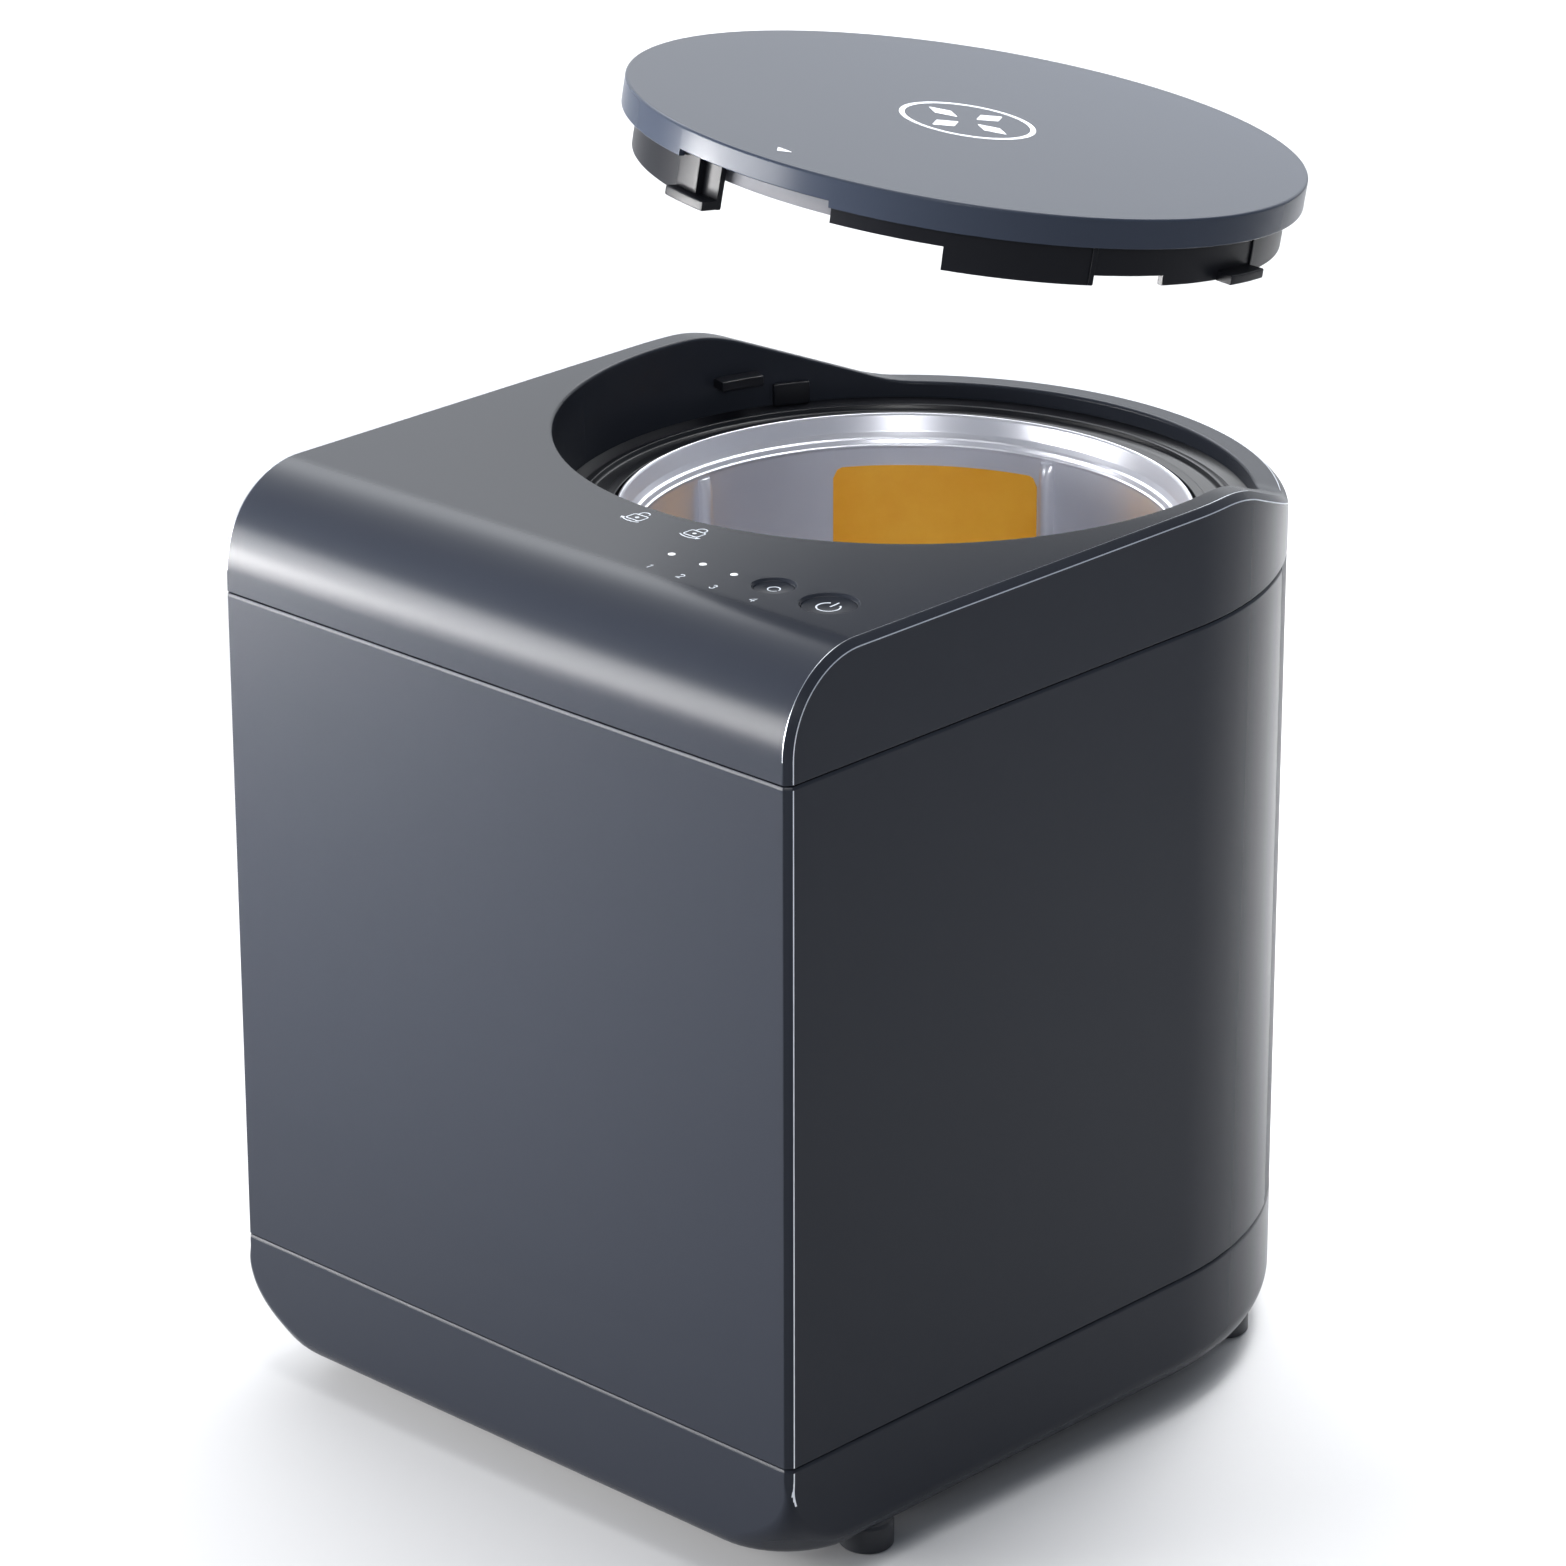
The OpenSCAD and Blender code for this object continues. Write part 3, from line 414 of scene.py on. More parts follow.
def lathe(g, profile, n=144, centre=(0.0, 0.0), a0=0.0, a1=360.0, cap=False):
    """Profile is a list of (radius, z); points on the axis become one vertex. Returns the rows."""
    full = abs(a1 - a0 - 360.0) < 1e-6
    k = n if full else max(2, int(round(n * (a1 - a0) / 360.0)))
    angs = [a0 + (a1 - a0) * j / k for j in range(k if full else k + 1)]
    rows = []
    for r, z in profile:
        if r < 1e-6 and full:
            i = g.add([(centre[0], centre[1], z)])[0]
            rows.append([i] * len(angs))
        else:
            rows.append(g.add([(centre[0] + r * cos(radians(a)), centre[1] + r * sin(radians(a)), z) for a in angs]))
    for a, b in zip(rows, rows[1:]):
        g.band(a, b, full)
    if not full and cap:
        g.f.append(tuple(r[0] for r in rows))
        g.f.append(tuple(r[-1] for r in reversed(rows)))
    return rows


def disc(g, c, r, z0, z1, fillet=0.3, n=64, bottom=True):
    """A solid round pad with a filleted top edge."""
    prof = [(0, z1)] + [(r - fillet + fillet * sin(t), z1 - fillet * (1 - cos(t))) for t in lin(0, pi / 2, 4)]
    prof += [(r, z0 + fillet)] + [(r - fillet + fillet * cos(t), z0 + fillet - fillet * sin(t)) for t in lin(0, pi / 2, 3)] + [(0, z0)]
    lathe(g, prof, n, c)


# ---------------------------------------------------------------- the deck's height towards the rear
DA = radians(22)
DY1, DD1 = 49.5 + 60 * sin(DA), 60 * (1 - cos(DA))
DD2 = 25 - 30 * (1 - cos(DA))
DY2 = DY1 + (DD2 - DD1) / tan(DA)
DY3 = DY2 + 30 * sin(DA)


def deck_z(y):
    if y <= 49.5:
        return H
    if y <= DY1:
        return H - (60 - sqrt(3600 - (y - 49.5) ** 2))
    if y <= DY2:
        return H - DD1 - (y - DY1) * tan(DA)
    if y <= DY3:
        return H - 25 + (30 - sqrt(max(0.0, 900 - (DY3 - y) ** 2)))
    return H - 25


def edge_profile(c, q, m=3):
    """Section of a bevelled edge with softened corners, from one face to the other.

    Each entry is (distance in from the second face, distance in from the first face, outward normal)."""
    t0 = q * tan(pi / 8)
    out = [(c + t0 - q * sin(t), q - q * cos(t), sin(t), cos(t)) for t in lin(0, pi / 4, m)]
    out += [(q - q * sin(t), c + t0 - q * cos(t), sin(t), cos(t)) for t in lin(pi / 4, pi / 2, m)]
    return out


def round_profile(r, m=3):
    """The same number of entries as edge_profile, on a quarter circle."""
    ts = lin(0, pi / 4, m) + lin(pi / 4, pi / 2, m)
    return [(r - r * sin(t), r - r * cos(t), sin(t), cos(t)) for t in ts]


def cover_skin(g, i, prof, rr, zlo, holes_in=None):
    """One skin of the top cover, inset by i. Returns its lower perimeter with outward normals, the ring's lower loop and the holes' loops."""
    wx, yf, rt, ht, rin = W - i, Y0 + i, R_TOP - i, H - i, OPEN_R + i
    ne, na, nb = len(prof) - 1, 26, 120
    re = prof[0][0]
    st = [(yf, zlo, -1.0, 0.0), (yf, H - R_TOP, -1.0, 0.0)]
    st += [(Y0 + R_TOP - rt * cos(t), H - R_TOP + rt * sin(t), -cos(t), sin(t)) for t in lin(0, pi / 2, na)[1:]]
    st += [(YC, ht, 0.0, 1.0)]
    ks = len(st)
    cols = {}
    for s in (1, -1):
        cols[s] = []
        for e, o, _, _ in prof:
            cols[s].append(g.add([(s * (wx - e), y - ny * o, z - nz * o) for y, z, ny, nz in st]))
        for a, b in zip(cols[s], cols[s][1:]):
            g.band(a, b, False)
    arc_end = ks - 2
    for k in range(arc_end):
        g.f.append((cols[-1][0][k], cols[1][0][k], cols[1][0][k + 1], cols[-1][0][k + 1]))
    # side walls
    side = {}
    for s in (1, -1):
        top = cols[s][-1]
        bot = [top[0]] * 2 + g.add([(s * wx, g.v[top[k]][1], zlo) for k in range(2, ks)])
        side[s] = bot
        for k in range(1, ks - 1):
            g.f.append((top[k], top[k + 1], bot[k + 1], bot[k]))
    # round back
    angs = lin(0, 180, nb)
    base = g.add([(wx * cos(radians(a)), YC + wx * sin(radians(a)), zlo) for a in angs])
    rows = [base]
    for e, o, _, _ in reversed(prof):
        rho = wx - e
        rows.append(g.add([(rho * cos(radians(a)), YC + rho * sin(radians(a)), deck_z(YC + rho * sin(radians(a))) - i - o) for a in angs]))
    land = lin(wx - re, rin + rr, 3)[1:-1]
    for rho in land:
        rows.append(g.add([(rho * cos(radians(a)), YC + rho * sin(radians(a)), deck_z(YC + rho * sin(radians(a))) - i) for a in angs]))
    g.rows(rows, False)
    # the round opening's edge, all the way round
    full = lin(0, 360, 2 * nb)[:-1]
    ring = []
    for p in lin(0, pi / 2, 6):
        rho, o = rin + rr * (1 - sin(p)), rr * (1 - cos(p))
        ring.append(g.add([(rho * cos(radians(a)), YC + rho * sin(radians(a)), deck_z(YC + rho * sin(radians(a))) - i - o) for a in full]))
    ring.append(g.add([(rin * cos(radians(a)), YC + rin * sin(radians(a)), COLLAR_Z) for a in full]))
    g.rows(ring, True)
    g.band(rows[-1], ring[0][:nb + 1], False)
    # the flat deck
    right, left = cols[1][0], cols[-1][0]
    outline = [right[ks - 1], right[arc_end], left[arc_end], left[ks - 1]]
    outline += [rows[-k][-1] for k in (2, 1)] if False else []
    n_land = len(land)
    outline += [rows[len(rows) - n_land + k][-1] for k in range(n_land)]
    outline += [ring[0][k] for k in range(nb, 2 * nb)] + [ring[0][0]]
    outline += [rows[len(rows) - 1 - k][0] for k in range(n_land)]
    loops = [outline]
    holes = []
    if holes_in is None:
        for x, y, r, f in [(POWER[0], POWER[1], POWER[2] + 0.12, 0.9), (RESET[0], RESET[1], RESET[2] + 0.12, 0.9)] + [(x, y, 1.36, 0.14) for x, y in LEDS]:
            m = 72 if r > 4 else 24
            rws = []
            for p in lin(0, 1, 8 if r > 4 else 4):
                # the keys sit at the foot of a soft S-shaped slope, the lights in a small round edge
                rho = r + f * (1 - p) if r > 4 else r + f * (1 - sin(p * pi / 2))
                z = ht - 1.05 * (p * p * (3 - 2 * p)) if r > 4 else ht - f * (1 - cos(p * pi / 2))
                rws.append(g.add([(x + rho * cos(2 * pi * k / m), y + rho * sin(2 * pi * k / m), z) for k in range(m)]))
            rws.append(g.add([(x + r * cos(2 * pi * k / m), y + r * sin(2 * pi * k / m), H - WALL) for k in range(m)]))
            g.rows(rws, True)
            loops.append(rws[0])
            holes.append(rws[-1])
    else:
        loops += holes_in
    g.fill(*loops)
    # lower perimeter, anticlockwise from the right end of the round back
    per = base[:]
    nor = [(cos(radians(a)), sin(radians(a))) for a in angs]
    for k in range(ks - 2, 0, -1):
        per.append(side[-1][k])
        nor.append((-1.0, 0.0))
    for e in range(ne - 1, -1, -1):
        per.append(cols[-1][e][0])
        nor.append((-prof[e][2], -prof[e][3]))
    for e in range(ne):
        per.append(cols[1][e][0])
        nor.append((prof[e][2], -prof[e][3]))
    for k in range(1, ks - 1):
        per.append(side[1][k])
        nor.append((1.0, 0.0))
    return per, nor, ring[-1], holes


LIP_LOW = [(SEAM_LIP * (1 - cos(t)), SEAM_LIP * (1 - sin(t))) for t in lin(0, pi / 2, 4)]    # (inset, distance from the edge)
LIP_TOP = [(0.0, 1.1), (0.05, 0.92), (0.30, 0.20), (0.46, 0.0)]                              # a slight draft below a seam


def lip_rows(g, per, nor, z_edge, up=True):
    """Rows that curl a wall's end inwards at a seam; up is True where the wall stands above the seam."""
    out = []
    for d, z in (LIP_LOW if up else LIP_TOP)[1:]:
        zz = z_edge + z if up else z_edge - z
        out.append(g.add([(g.v[i][0] - n[0] * d, g.v[i][1] - n[1] * d, zz) for i, n in zip(per, nor)]))
    return out


def make_top_cover():
    g = Geo()
    z_edge = SEAM_HI + GAP / 2
    per, nor, ring_o, holes = cover_skin(g, 0.0, edge_profile(EDGE_C, EDGE_Q), 1.3, z_edge + SEAM_LIP)
    lips = lip_rows(g, per, nor, z_edge, True)
    g.rows([per] + lips, True)
    per_i, nor_i, ring_i, _ = cover_skin(g, WALL, round_profile(0.5), 0.5, z_edge, holes_in=holes)
    g.band(lips[-1], per_i, True)
    g.band(ring_o, ring_i, True)
    return piece("top_cover_skin", g, "housing", "slate_body", ["top_cover"])


def outline_c(i, a_stop=30.0, nb=60):
    """The mid shell's plan: from the right end of the rear panel round the front to the left end. Points with outward normals."""
    pts, nor = [], []
    for a in lin(a_stop, 0, nb // 2):
        pts.append(((W - i) * cos(radians(a)), YC + (W - i) * sin(radians(a))))
        nor.append((cos(radians(a)), sin(radians(a))))
    for y in (YC - 60, YC - 120, YC - 180):
        pts.append((W - i, y))
        nor.append((1.0, 0.0))
    for e, o, nu, no in reversed(edge_profile(EDGE_C, EDGE_Q) if i == 0 else round_profile(0.5)):
        pts.append((W - i - e, Y0 + i + o))
        nor.append((nu, -no))
    pts_l = [(-x, y) for x, y in reversed(pts)]
    nor_l = [(-x, y) for x, y in reversed(nor)]
    return pts + pts_l, nor + nor_l


def prism(g, outer, outer_n, inner, z0, z1, ends=True):
    """A wall between an outer and an inner path, with softened lips at its ends. Paths have equal counts."""
    rows = []
    for d, z in [(d, z0 + z) for d, z in reversed(LIP_LOW)] + [(d, z1 - z) for d, z in LIP_TOP]:
        rows.append(g.add([(p[0] - n[0] * d, p[1] - n[1] * d, z) for p, n in zip(outer, outer_n)]))
    rows.append(g.add([(p[0], p[1], z1) for p in inner]))
    rows.append(g.add([(p[0], p[1], z0) for p in inner]))
    rows.append(rows[0])
    g.rows(rows, not ends)
    if ends:
        g.f.append(tuple(r[0] for r in rows[:-1]))
        g.f.append(tuple(r[-1] for r in reversed(rows[:-1])))
    return rows


def make_mid_shell():
    g = Geo()
    o, n = outline_c(0.0)
    inner, _ = outline_c(WALL)
    prism(g, o, n, inner, SEAM_LO + GAP / 2, SEAM_HI - GAP / 2)
    return piece("mid_shell_skin", g, "housing", "slate_body", ["mid_shell"])


def corner_r(z):
    """Plan radius of the two front corners of the bottom shell, growing towards the underside."""
    top, side = 62.0, ZB + ROLL
    if z >= top:
        return 2.4
    r = 2.4 + 21.6 * ((top - max(z, side)) / (top - side)) ** 2.7
    if z < side:
        # goes on growing with the same slope until the roll has taken it over
        slope = 21.6 * 2.7 / (top - side)
        phi = min(math.asin(min(1.0, (side - z) / ROLL)), math.atan(0.2929 * slope))
        r += slope * ROLL * sin(phi) - 3.414 * ROLL * (1 - cos(phi))
    return r


def bottom_row(g, z, inset=0.0, r=2.4, blend=1.0):
    """One ring of the bottom shell; blend 0 gives the bevelled upright edge, 1 the rounded corner of radius r."""
    wx, yf = W - inset, Y0 + inset
    pts = [(wx * cos(radians(a)), YC + wx * sin(radians(a)), z) for a in lin(0, 180, 120)]
    nor = [(cos(radians(a)), sin(radians(a))) for a in lin(0, 180, 120)]
    ys = [YC - 40, YC - 80, YC - 120, YC - 150, -126.0]
    pts += [(-wx, y, z) for y in ys]
    nor += [(-1.0, 0.0)] * len(ys)
    corner = []
    for (e0, o0, nu, no), (e1, o1, _, _) in zip(edge_profile(EDGE_C, EDGE_Q, 7), round_profile(r, 7)):
        corner.append((e0 + (e1 - e0) * blend, o0 + (o1 - o0) * blend, nu, no))
    pts += [(-(wx - e), yf + o, z) for e, o, _, _ in reversed(corner)]
    nor += [(-nu, -no) for _, _, nu, no in reversed(corner)]
    pts += [(wx - e, yf + o, z) for e, o, _, _ in corner]
    nor += [(nu, -no) for _, _, nu, no in corner]
    pts += [(wx, y, z) for y in reversed(ys)]
    nor += [(1.0, 0.0)] * len(ys)
    return g.add(pts), nor


def make_bottom_shell():
    g = Geo()
    zt = SEAM_LO - GAP / 2
    side = ZB + ROLL
    base, nor = bottom_row(g, zt - LIP_TOP[0][1], blend=0.0)
    top_rows = lip_rows(g, base, nor, zt, False)[::-1]
    rows = top_rows + [base]
    for z in (62.0, 61.0, 60.0, 59.0, 58.0, 57.0, 56.0, 54.0, 52.0, 50.0, 48.0, 46.0, 44.0, 42.0, 40.5, 39.0, 37.5, 36.2, 35.2):
        k = min(1.0, (62.0 - z) / 8.0)
        rows.append(bottom_row(g, z, 0.0, corner_r(z), k * k * (3 - 2 * k))[0])
    phis = lin(0, pi / 2, 16)
    for p in phis:
        z = side - ROLL * sin(p)
        rows.append(bottom_row(g, z, ROLL * (1 - cos(p)), corner_r(z))[0])
    low = rows[-1]
    # the underside up to the base pan, then the inside
    tip = [(max(-125.0, min(125.0, g.v[i][0])), max(g.v[i][1], -131.1), ZB) for i in low]
    rows.append(g.add(tip))
    rows.append(g.add([(x, y, ZB + WALL) for x, y, z in tip]))
    rin = ROLL - WALL
    for p in reversed(lin(0, pi / 2, 6)):
        rows.append(bottom_row(g, side - rin * sin(p), ROLL - rin * cos(p), max(0.4, corner_r(side - ROLL * sin(p)) - WALL))[0])
    for z in (37.5, 42.0, 48.0, 56.0, zt):
        rows.append(bottom_row(g, z, WALL, max(0.4, corner_r(z) - WALL))[0])
    rows.append(rows[0])
    g.rows(rows, True)
    return piece("bottom_shell_skin", g, "housing", "slate_body", ["bottom_shell"], sharp=50)


def cut(ob, cutter_geo, name):
    """Cuts closed cutters out of a mesh object and applies the result."""
    bm = bmesh.new()
    vs = [bm.verts.new((Vector(p) - DROP) * 0.001) for p in cutter_geo.v]
    for f in cutter_geo.f:
        if len(set(f)) >= 3:
            try:
                bm.faces.new([vs[i] for i in f])
            except ValueError:
                pass
    bmesh.ops.remove_doubles(bm, verts=bm.verts[:], dist=1e-7)
    bmesh.ops.recalc_face_normals(bm, faces=bm.faces[:])
    me = bpy.data.meshes.new(name)
    bm.to_mesh(me)
    bm.free()
    c = bpy.data.objects.new(name, me)
    bpy.context.scene.collection.objects.link(c)
    mod = ob.modifiers.new("cut", "BOOLEAN")
    mod.operation = "DIFFERENCE"
    mod.solver = "EXACT"
    mod.object = c
    with bpy.context.temp_override(object=ob, active_object=ob, selected_objects=[ob]):
        while ob.modifiers[0].name != "cut":
            bpy.ops.object.modifier_move_up(modifier="cut")
        bpy.ops.object.modifier_apply(modifier="cut")
    bpy.data.objects.remove(c, do_unlink=True)
    bpy.data.meshes.remove(me)
    bm = bmesh.new()
    bm.from_mesh(ob.data)
    for e in bm.edges:
        e.smooth = not (len(e.link_faces) == 2 and e.calc_face_angle(0.0) > radians(38))
    for f in bm.faces:
        f.smooth = True
    bm.to_mesh(ob.data)
    bm.free()


def slot_prism(g, cx, w, z0, z1, y0, y1, r=None, n=6):
    """A rounded slot cutter along Y."""
    r = min(w / 2, (z1 - z0) / 2) if r is None else r
    pts = []
    for qx, qz, a in ((cx + w / 2 - r, z1 - r, 0), (cx - w / 2 + r, z1 - r, 90), (cx - w / 2 + r, z0 + r, 180), (cx + w / 2 - r, z0 + r, 270)):
        for t in lin(a, a + 90, n):
            pts.append((qx + r * cos(radians(t)), qz + r * sin(radians(t))))
    a = g.add([(x, y0, z) for x, z in pts])
    b = g.add([(x, y1, z) for x, z in pts])
    g.band(a, b, True)
    g.f.append(tuple(a))
    g.f.append(tuple(reversed(b)))


def make_rear_panel():
    g = Geo()
    angs = lin(30.25, 149.75, 100)
    r0, r1 = W - 0.15, W - WALL
    z0, z1 = SEAM_LO + GAP / 2, COLLAR_Z
    outer = [(r0 * cos(radians(a)), YC + r0 * sin(radians(a))) for a in angs]
    nor = [(cos(radians(a)), sin(radians(a))) for a in angs]
    inner = [(r1 * cos(radians(a)), YC + r1 * sin(radians(a))) for a in angs]
    prism(g, outer, nor, inner, z0, z1)
    ob = piece("rear_panel_skin", g, "housing", "slate_rear", ["rear_panel"])
    c = Geo()
    slot_prism(c, 0.0, 100.0, 70.0, 100.0, 120.0, 190.0, 0.6, 3)
    slot_prism(c, 0.0, 30.0, 126.0, 152.0, 140.0, 190.0, 1.0, 3)
    for k in range(-5, 6):
        for j in range(2):
            slot_prism(c, 9.0 * k, 4.0, 190.0 + 34 * j, 216.0 + 34 * j, 120.0, 190.0)
    cut(ob, c, "panel_cutters")
    return ob


# ---------------------------------------------------------------- shells
top_cover = make_top_cover()
mid_shell = make_mid_shell()
bottom_shell = make_bottom_shell()
rear_panel = make_rear_panel()
_c = Geo()
for _k in range(-3, 4):
    slot_prism(_c, 9.0 * _k, 4.0, 37.0, 55.0, 130.0, 190.0)
cut(bottom_shell, _c, "exhaust_cutters")
# painted highlight lines on the shells' bevel corners
for _ob in (top_cover, mid_shell, bottom_shell):
    paint_edge_highlights(_ob)

# ---------------------------------------------------------------- feet
g = Geo()
for x, y in ((119.4, -113.6), (-119.4, -113.6), (102.3, 96.5), (-102.3, 96.5)):
    prof = rounded([(4.3, 3.4), (4.3, 0.0), (8.7, 0.0), (9.5, 0.9), (9.5, 9.2), (8.8, 10.4), (8.8, 12.0), (1.9, 12.0)], [0, 0.3, 0.9, 0.5, 0.5, 0.6, 0.3, 0], 4)
    rows = lathe(g, [(r, z + DROP.z) for r, z in prof], 64, (x, y))
    rows2 = lathe(g, [(r, z + DROP.z) for r, z in ((1.9, 12.0), (1.9, 3.4), (4.3, 3.4))], 64, (x, y))
piece("feet_rubber", g, "housing", "foot_rubber", ["feet"])


# ---------------------------------------------------------------- inside the opening
def make_collar():
    g = Geo()
    prof = [(126.3, 320.4), (126.3, 322.95), (123.9, 322.95), (119.4, 321.6), (117.6, 321.6), (116.8, 322.9), (115.4, 322.9), (114.6, 321.0),
            (108.6, 320.4), (107.7, 322.9), (104.1, 322.9), (103.95, 322.4), (103.95, 320.5), (106.0, 320.4), (106.0, 304.1), (107.8, 304.1), (107.8, 318.4), (126.3, 318.6), (126.3, 320.4)]
    prof = rounded(prof, [0, 0.3, 0.3, 1.0, 0.8, 0.5, 0.5, 1.2, 1.2, 0.5, 0.4, 0.2, 0.3, 0.5, 0.3, 0.3, 0.5, 0.2, 0], 4)
    # the collar's underside stays at its CAD level
    prof = [(r, max(z, 320.41) if r > 107.9 else z) for r, z in prof]
    lathe(g, prof, 216, (0.0, YC))
    return piece("lid_collar_ring", g, "housing", "collar_black", ["lid_collar"])


def arc_block(g, r0, r1, a0, a1, z0, z1, centre=(0.0, 0.0), e=0.5, seg=8, plane=None):
    """A block that follows an arc, with softened edges on every side."""
    def row(a, ins):
        q = [(r0 + ins, z0 + ins), (r1 - ins, z0 + ins), (r1 - ins, z1 - ins), (r0 + ins, z1 - ins)]
        q = closed_rounded(q, [min(e, abs(r1 - r0) * 0.4, abs(z1 - z0) * 0.4)] * 4, 3)
        return g.add([(centre[0] + r * cos(radians(a)), centre[1] + r * sin(radians(a)), z) for r, z in q])
    da = degrees(e / r1)
    rows = []
    for t in lin(0, pi / 2, 2):
        rows.append(row(a0 + da * (1 - cos(t)) if False else a0 + da * (1 - cos(t)), e * 0.6 * (1 - sin(t))))
    for a in lin(a0 + da, a1 - da, seg)[1:-1]:
        rows.append(row(a, 0.0))
    for t in lin(pi / 2, 0, 2):
        rows.append(row(a1 - da * (1 - cos(t)), e * 0.6 * (1 - sin(t))))
    g.rows(rows, True)
    g.f.append(tuple(reversed(rows[0])))
    g.f.append(tuple(rows[-1]))


def make_catches():
    g = Geo()
    for a in (-99, 8, 152):
        arc_block(g, 117.4, 123.95, a + 6.8, a + 15.2, H - 20.4, H - 16.8, (0.0, YC), 0.5, 10)
    arc_block(g, 121.6, 123.95, 149.4, 155.9, 323.0, 331.4, (0.0, YC), 0.6, 8)
    return piece("lid_catch_set", g, "housing", "collar_black", ["lid_catches"])


make_collar()
make_catches()


# ---------------------------------------------------------------- buttons and prints on the deck
def dish(p, r):
    """Height of a key's top: a shallow dish, 0.35 deep, a little below the deck."""
    return lambda x, y: H - 1.05 - 0.35 * (0.5 + 0.5 * cos(pi * min(1.0, hypot(x - p[0], y - p[1]) / (r - 0.4))))


def dished_button(name, node, body, p, r):
    g = Geo()
    top = dish((0, 0), r)
    prof = [(rho, top(rho, 0)) for rho in lin(0, r - 0.3, 18)]
    prof += [(r - 0.25 + 0.25 * sin(t), H - 1.05 - 0.25 * (1 - cos(t))) for t in lin(0, pi / 2, 4)]
    prof += [(r, 345.6), (r - 0.2, 345.4), (3.0, 345.4), (3.0, 344.4), (0, 344.4)]
    lathe(g, prof, 96, p[:2])
    return piece(name, g, body, "slate_buttons", [node])


dished_button("start_button_cap", "power_button", "start_key", POWER, POWER[2])
dished_button("reset_button_cap", "reset_button", "reset_key", RESET, RESET[2])


def stroke(g, pts, w, zf, closed=False, t=0.05):
    """A flat printed line of width w along pts, lying on the surface height zf(x, y)."""
    n = len(pts)
    left, right = [], []
    for k in range(n):
        a = Vector(pts[k - 1] if (k > 0 or closed) else pts[k])
        b = Vector(pts[(k + 1) % n] if (k < n - 1 or closed) else pts[k])
        d = (b - a).normalized()
        nrm = Vector((-d.y, d.x))
        p = Vector(pts[k])
        left.append(p + nrm * w / 2)
        right.append(p - nrm * w / 2)
    up = lambda q: (q[0], q[1], zf(q[0], q[1]) + t)
    dn = lambda q: (q[0], q[1], zf(q[0], q[1]) - 0.05)
    a, b = g.add([up(q) for q in left]), g.add([up(q) for q in right])
    c, d = g.add([dn(q) for q in left]), g.add([dn(q) for q in right])
    for x, y in ((a, b), (b, d), (d, c), (c, a)):
        g.band(x, y, closed)
    if not closed:
        g.f.append((a[0], b[0], d[0], c[0]))
        g.f.append((a[-1], c[-1], d[-1], b[-1]))


def arc_pts(cx, cy, r, a0, a1, n=24):
    return [(cx + r * cos(radians(a)), cy + r * sin(radians(a))) for a in lin(a0, a1, n)]


def rrect(cx, cy, w, h, r, n=5):
    out = []
    for sx, sy, a in ((1, 1, 0), (-1, 1, 90), (-1, -1, 180), (1, -1, 270)):
        for t in lin(a, a + 90, n):
            out.append((cx + sx * (w / 2 - r) + r * cos(radians(t)), cy + sy * (h / 2 - r) + r * sin(radians(t))))
    return out


def flat_poly(g, pts, zf, t=0.05):
    a = g.add([(x, y, zf(x, y) + t) for x, y in pts])
    b = g.add([(x, y, zf(x, y) - 0.05) for x, y in pts])
    g.band(a, b, True)
    g.f.append(tuple(a))
    g.f.append(tuple(reversed(b)))


def padlock(g, cx, cy, is_open, zf):
    w = 0.46
    stroke(g, rrect(cx, cy - 0.4, 6.4, 4.8, 0.9), w, zf, True)
    if is_open:
        sh = [(cx - 1.9, cy + 2.1)] + arc_pts(cx - 0.1, cy + 3.4, 1.8, 180, 10, 16)
    else:
        sh = [(cx - 1.8, cy + 2.1)] + arc_pts(cx, cy + 3.2, 1.8, 180, 0, 16) + [(cx + 1.8, cy + 2.1)]
    stroke(g, sh, w, zf)
    flat_poly(g, [(cx + 0.75 * cos(2 * pi * k / 16), cy - 0.4 + 0.75 * sin(2 * pi * k / 16)) for k in range(16)], zf)
    # curved arrow below
    s = -1 if is_open else 1
    arc = [(cx + s * x, y) for x, y in arc_pts(0, cy + 2.6, 7.2, 238, 300, 18)]
    stroke(g, arc, 0.5, zf)
    e = arc[-1] if True else arc[0]
    d = Vector((s * 0.86, 0.5)).normalized()
    nrm = Vector((-d.y, d.x))
    tip = Vector(e) + d * 1.7
    b1, b2 = Vector(e) + nrm * 0.95, Vector(e) - nrm * 0.95
    tri = [tip, b1, b2] if s > 0 else [tip, b2, b1]
    flat_poly(g, [tuple(q) for q in tri], zf)


DIGITS = {
    "1": [[(-0.45, 0.75), (0.1, 1.3), (0.1, -1.3)]],
    "2": [arc_pts(0, 0.55, 0.75, 165, -25, 12) + [(-0.78, -1.3), (0.8, -1.3)]],
    "3": [arc_pts(0, 0.62, 0.66, 160, -90, 12), arc_pts(0, -0.62, 0.70, 90, -160, 12)],
    "4": [[(0.35, -1.3), (0.35, 1.3), (-0.85, -0.5), (0.85, -0.5)]],
}


def digit(g, ch, cx, cy, zf, k=1.2, w=0.36):
    for line in DIGITS[ch]:
        stroke(g, [(cx + x * k, cy + y * k) for x, y in line], w, zf)


deck = lambda x, y: H
g = Geo()
padlock(g, 0.6, -100.5, True, deck)
padlock(g, 26.1, -98.9, False, deck)
for ch, x in zip("1234", (37.8, 52.0, 67.0, 85.1)):
    digit(g, ch, x, -132.4, deck)
piece("deck_prints", g, "housing", "print_pale")


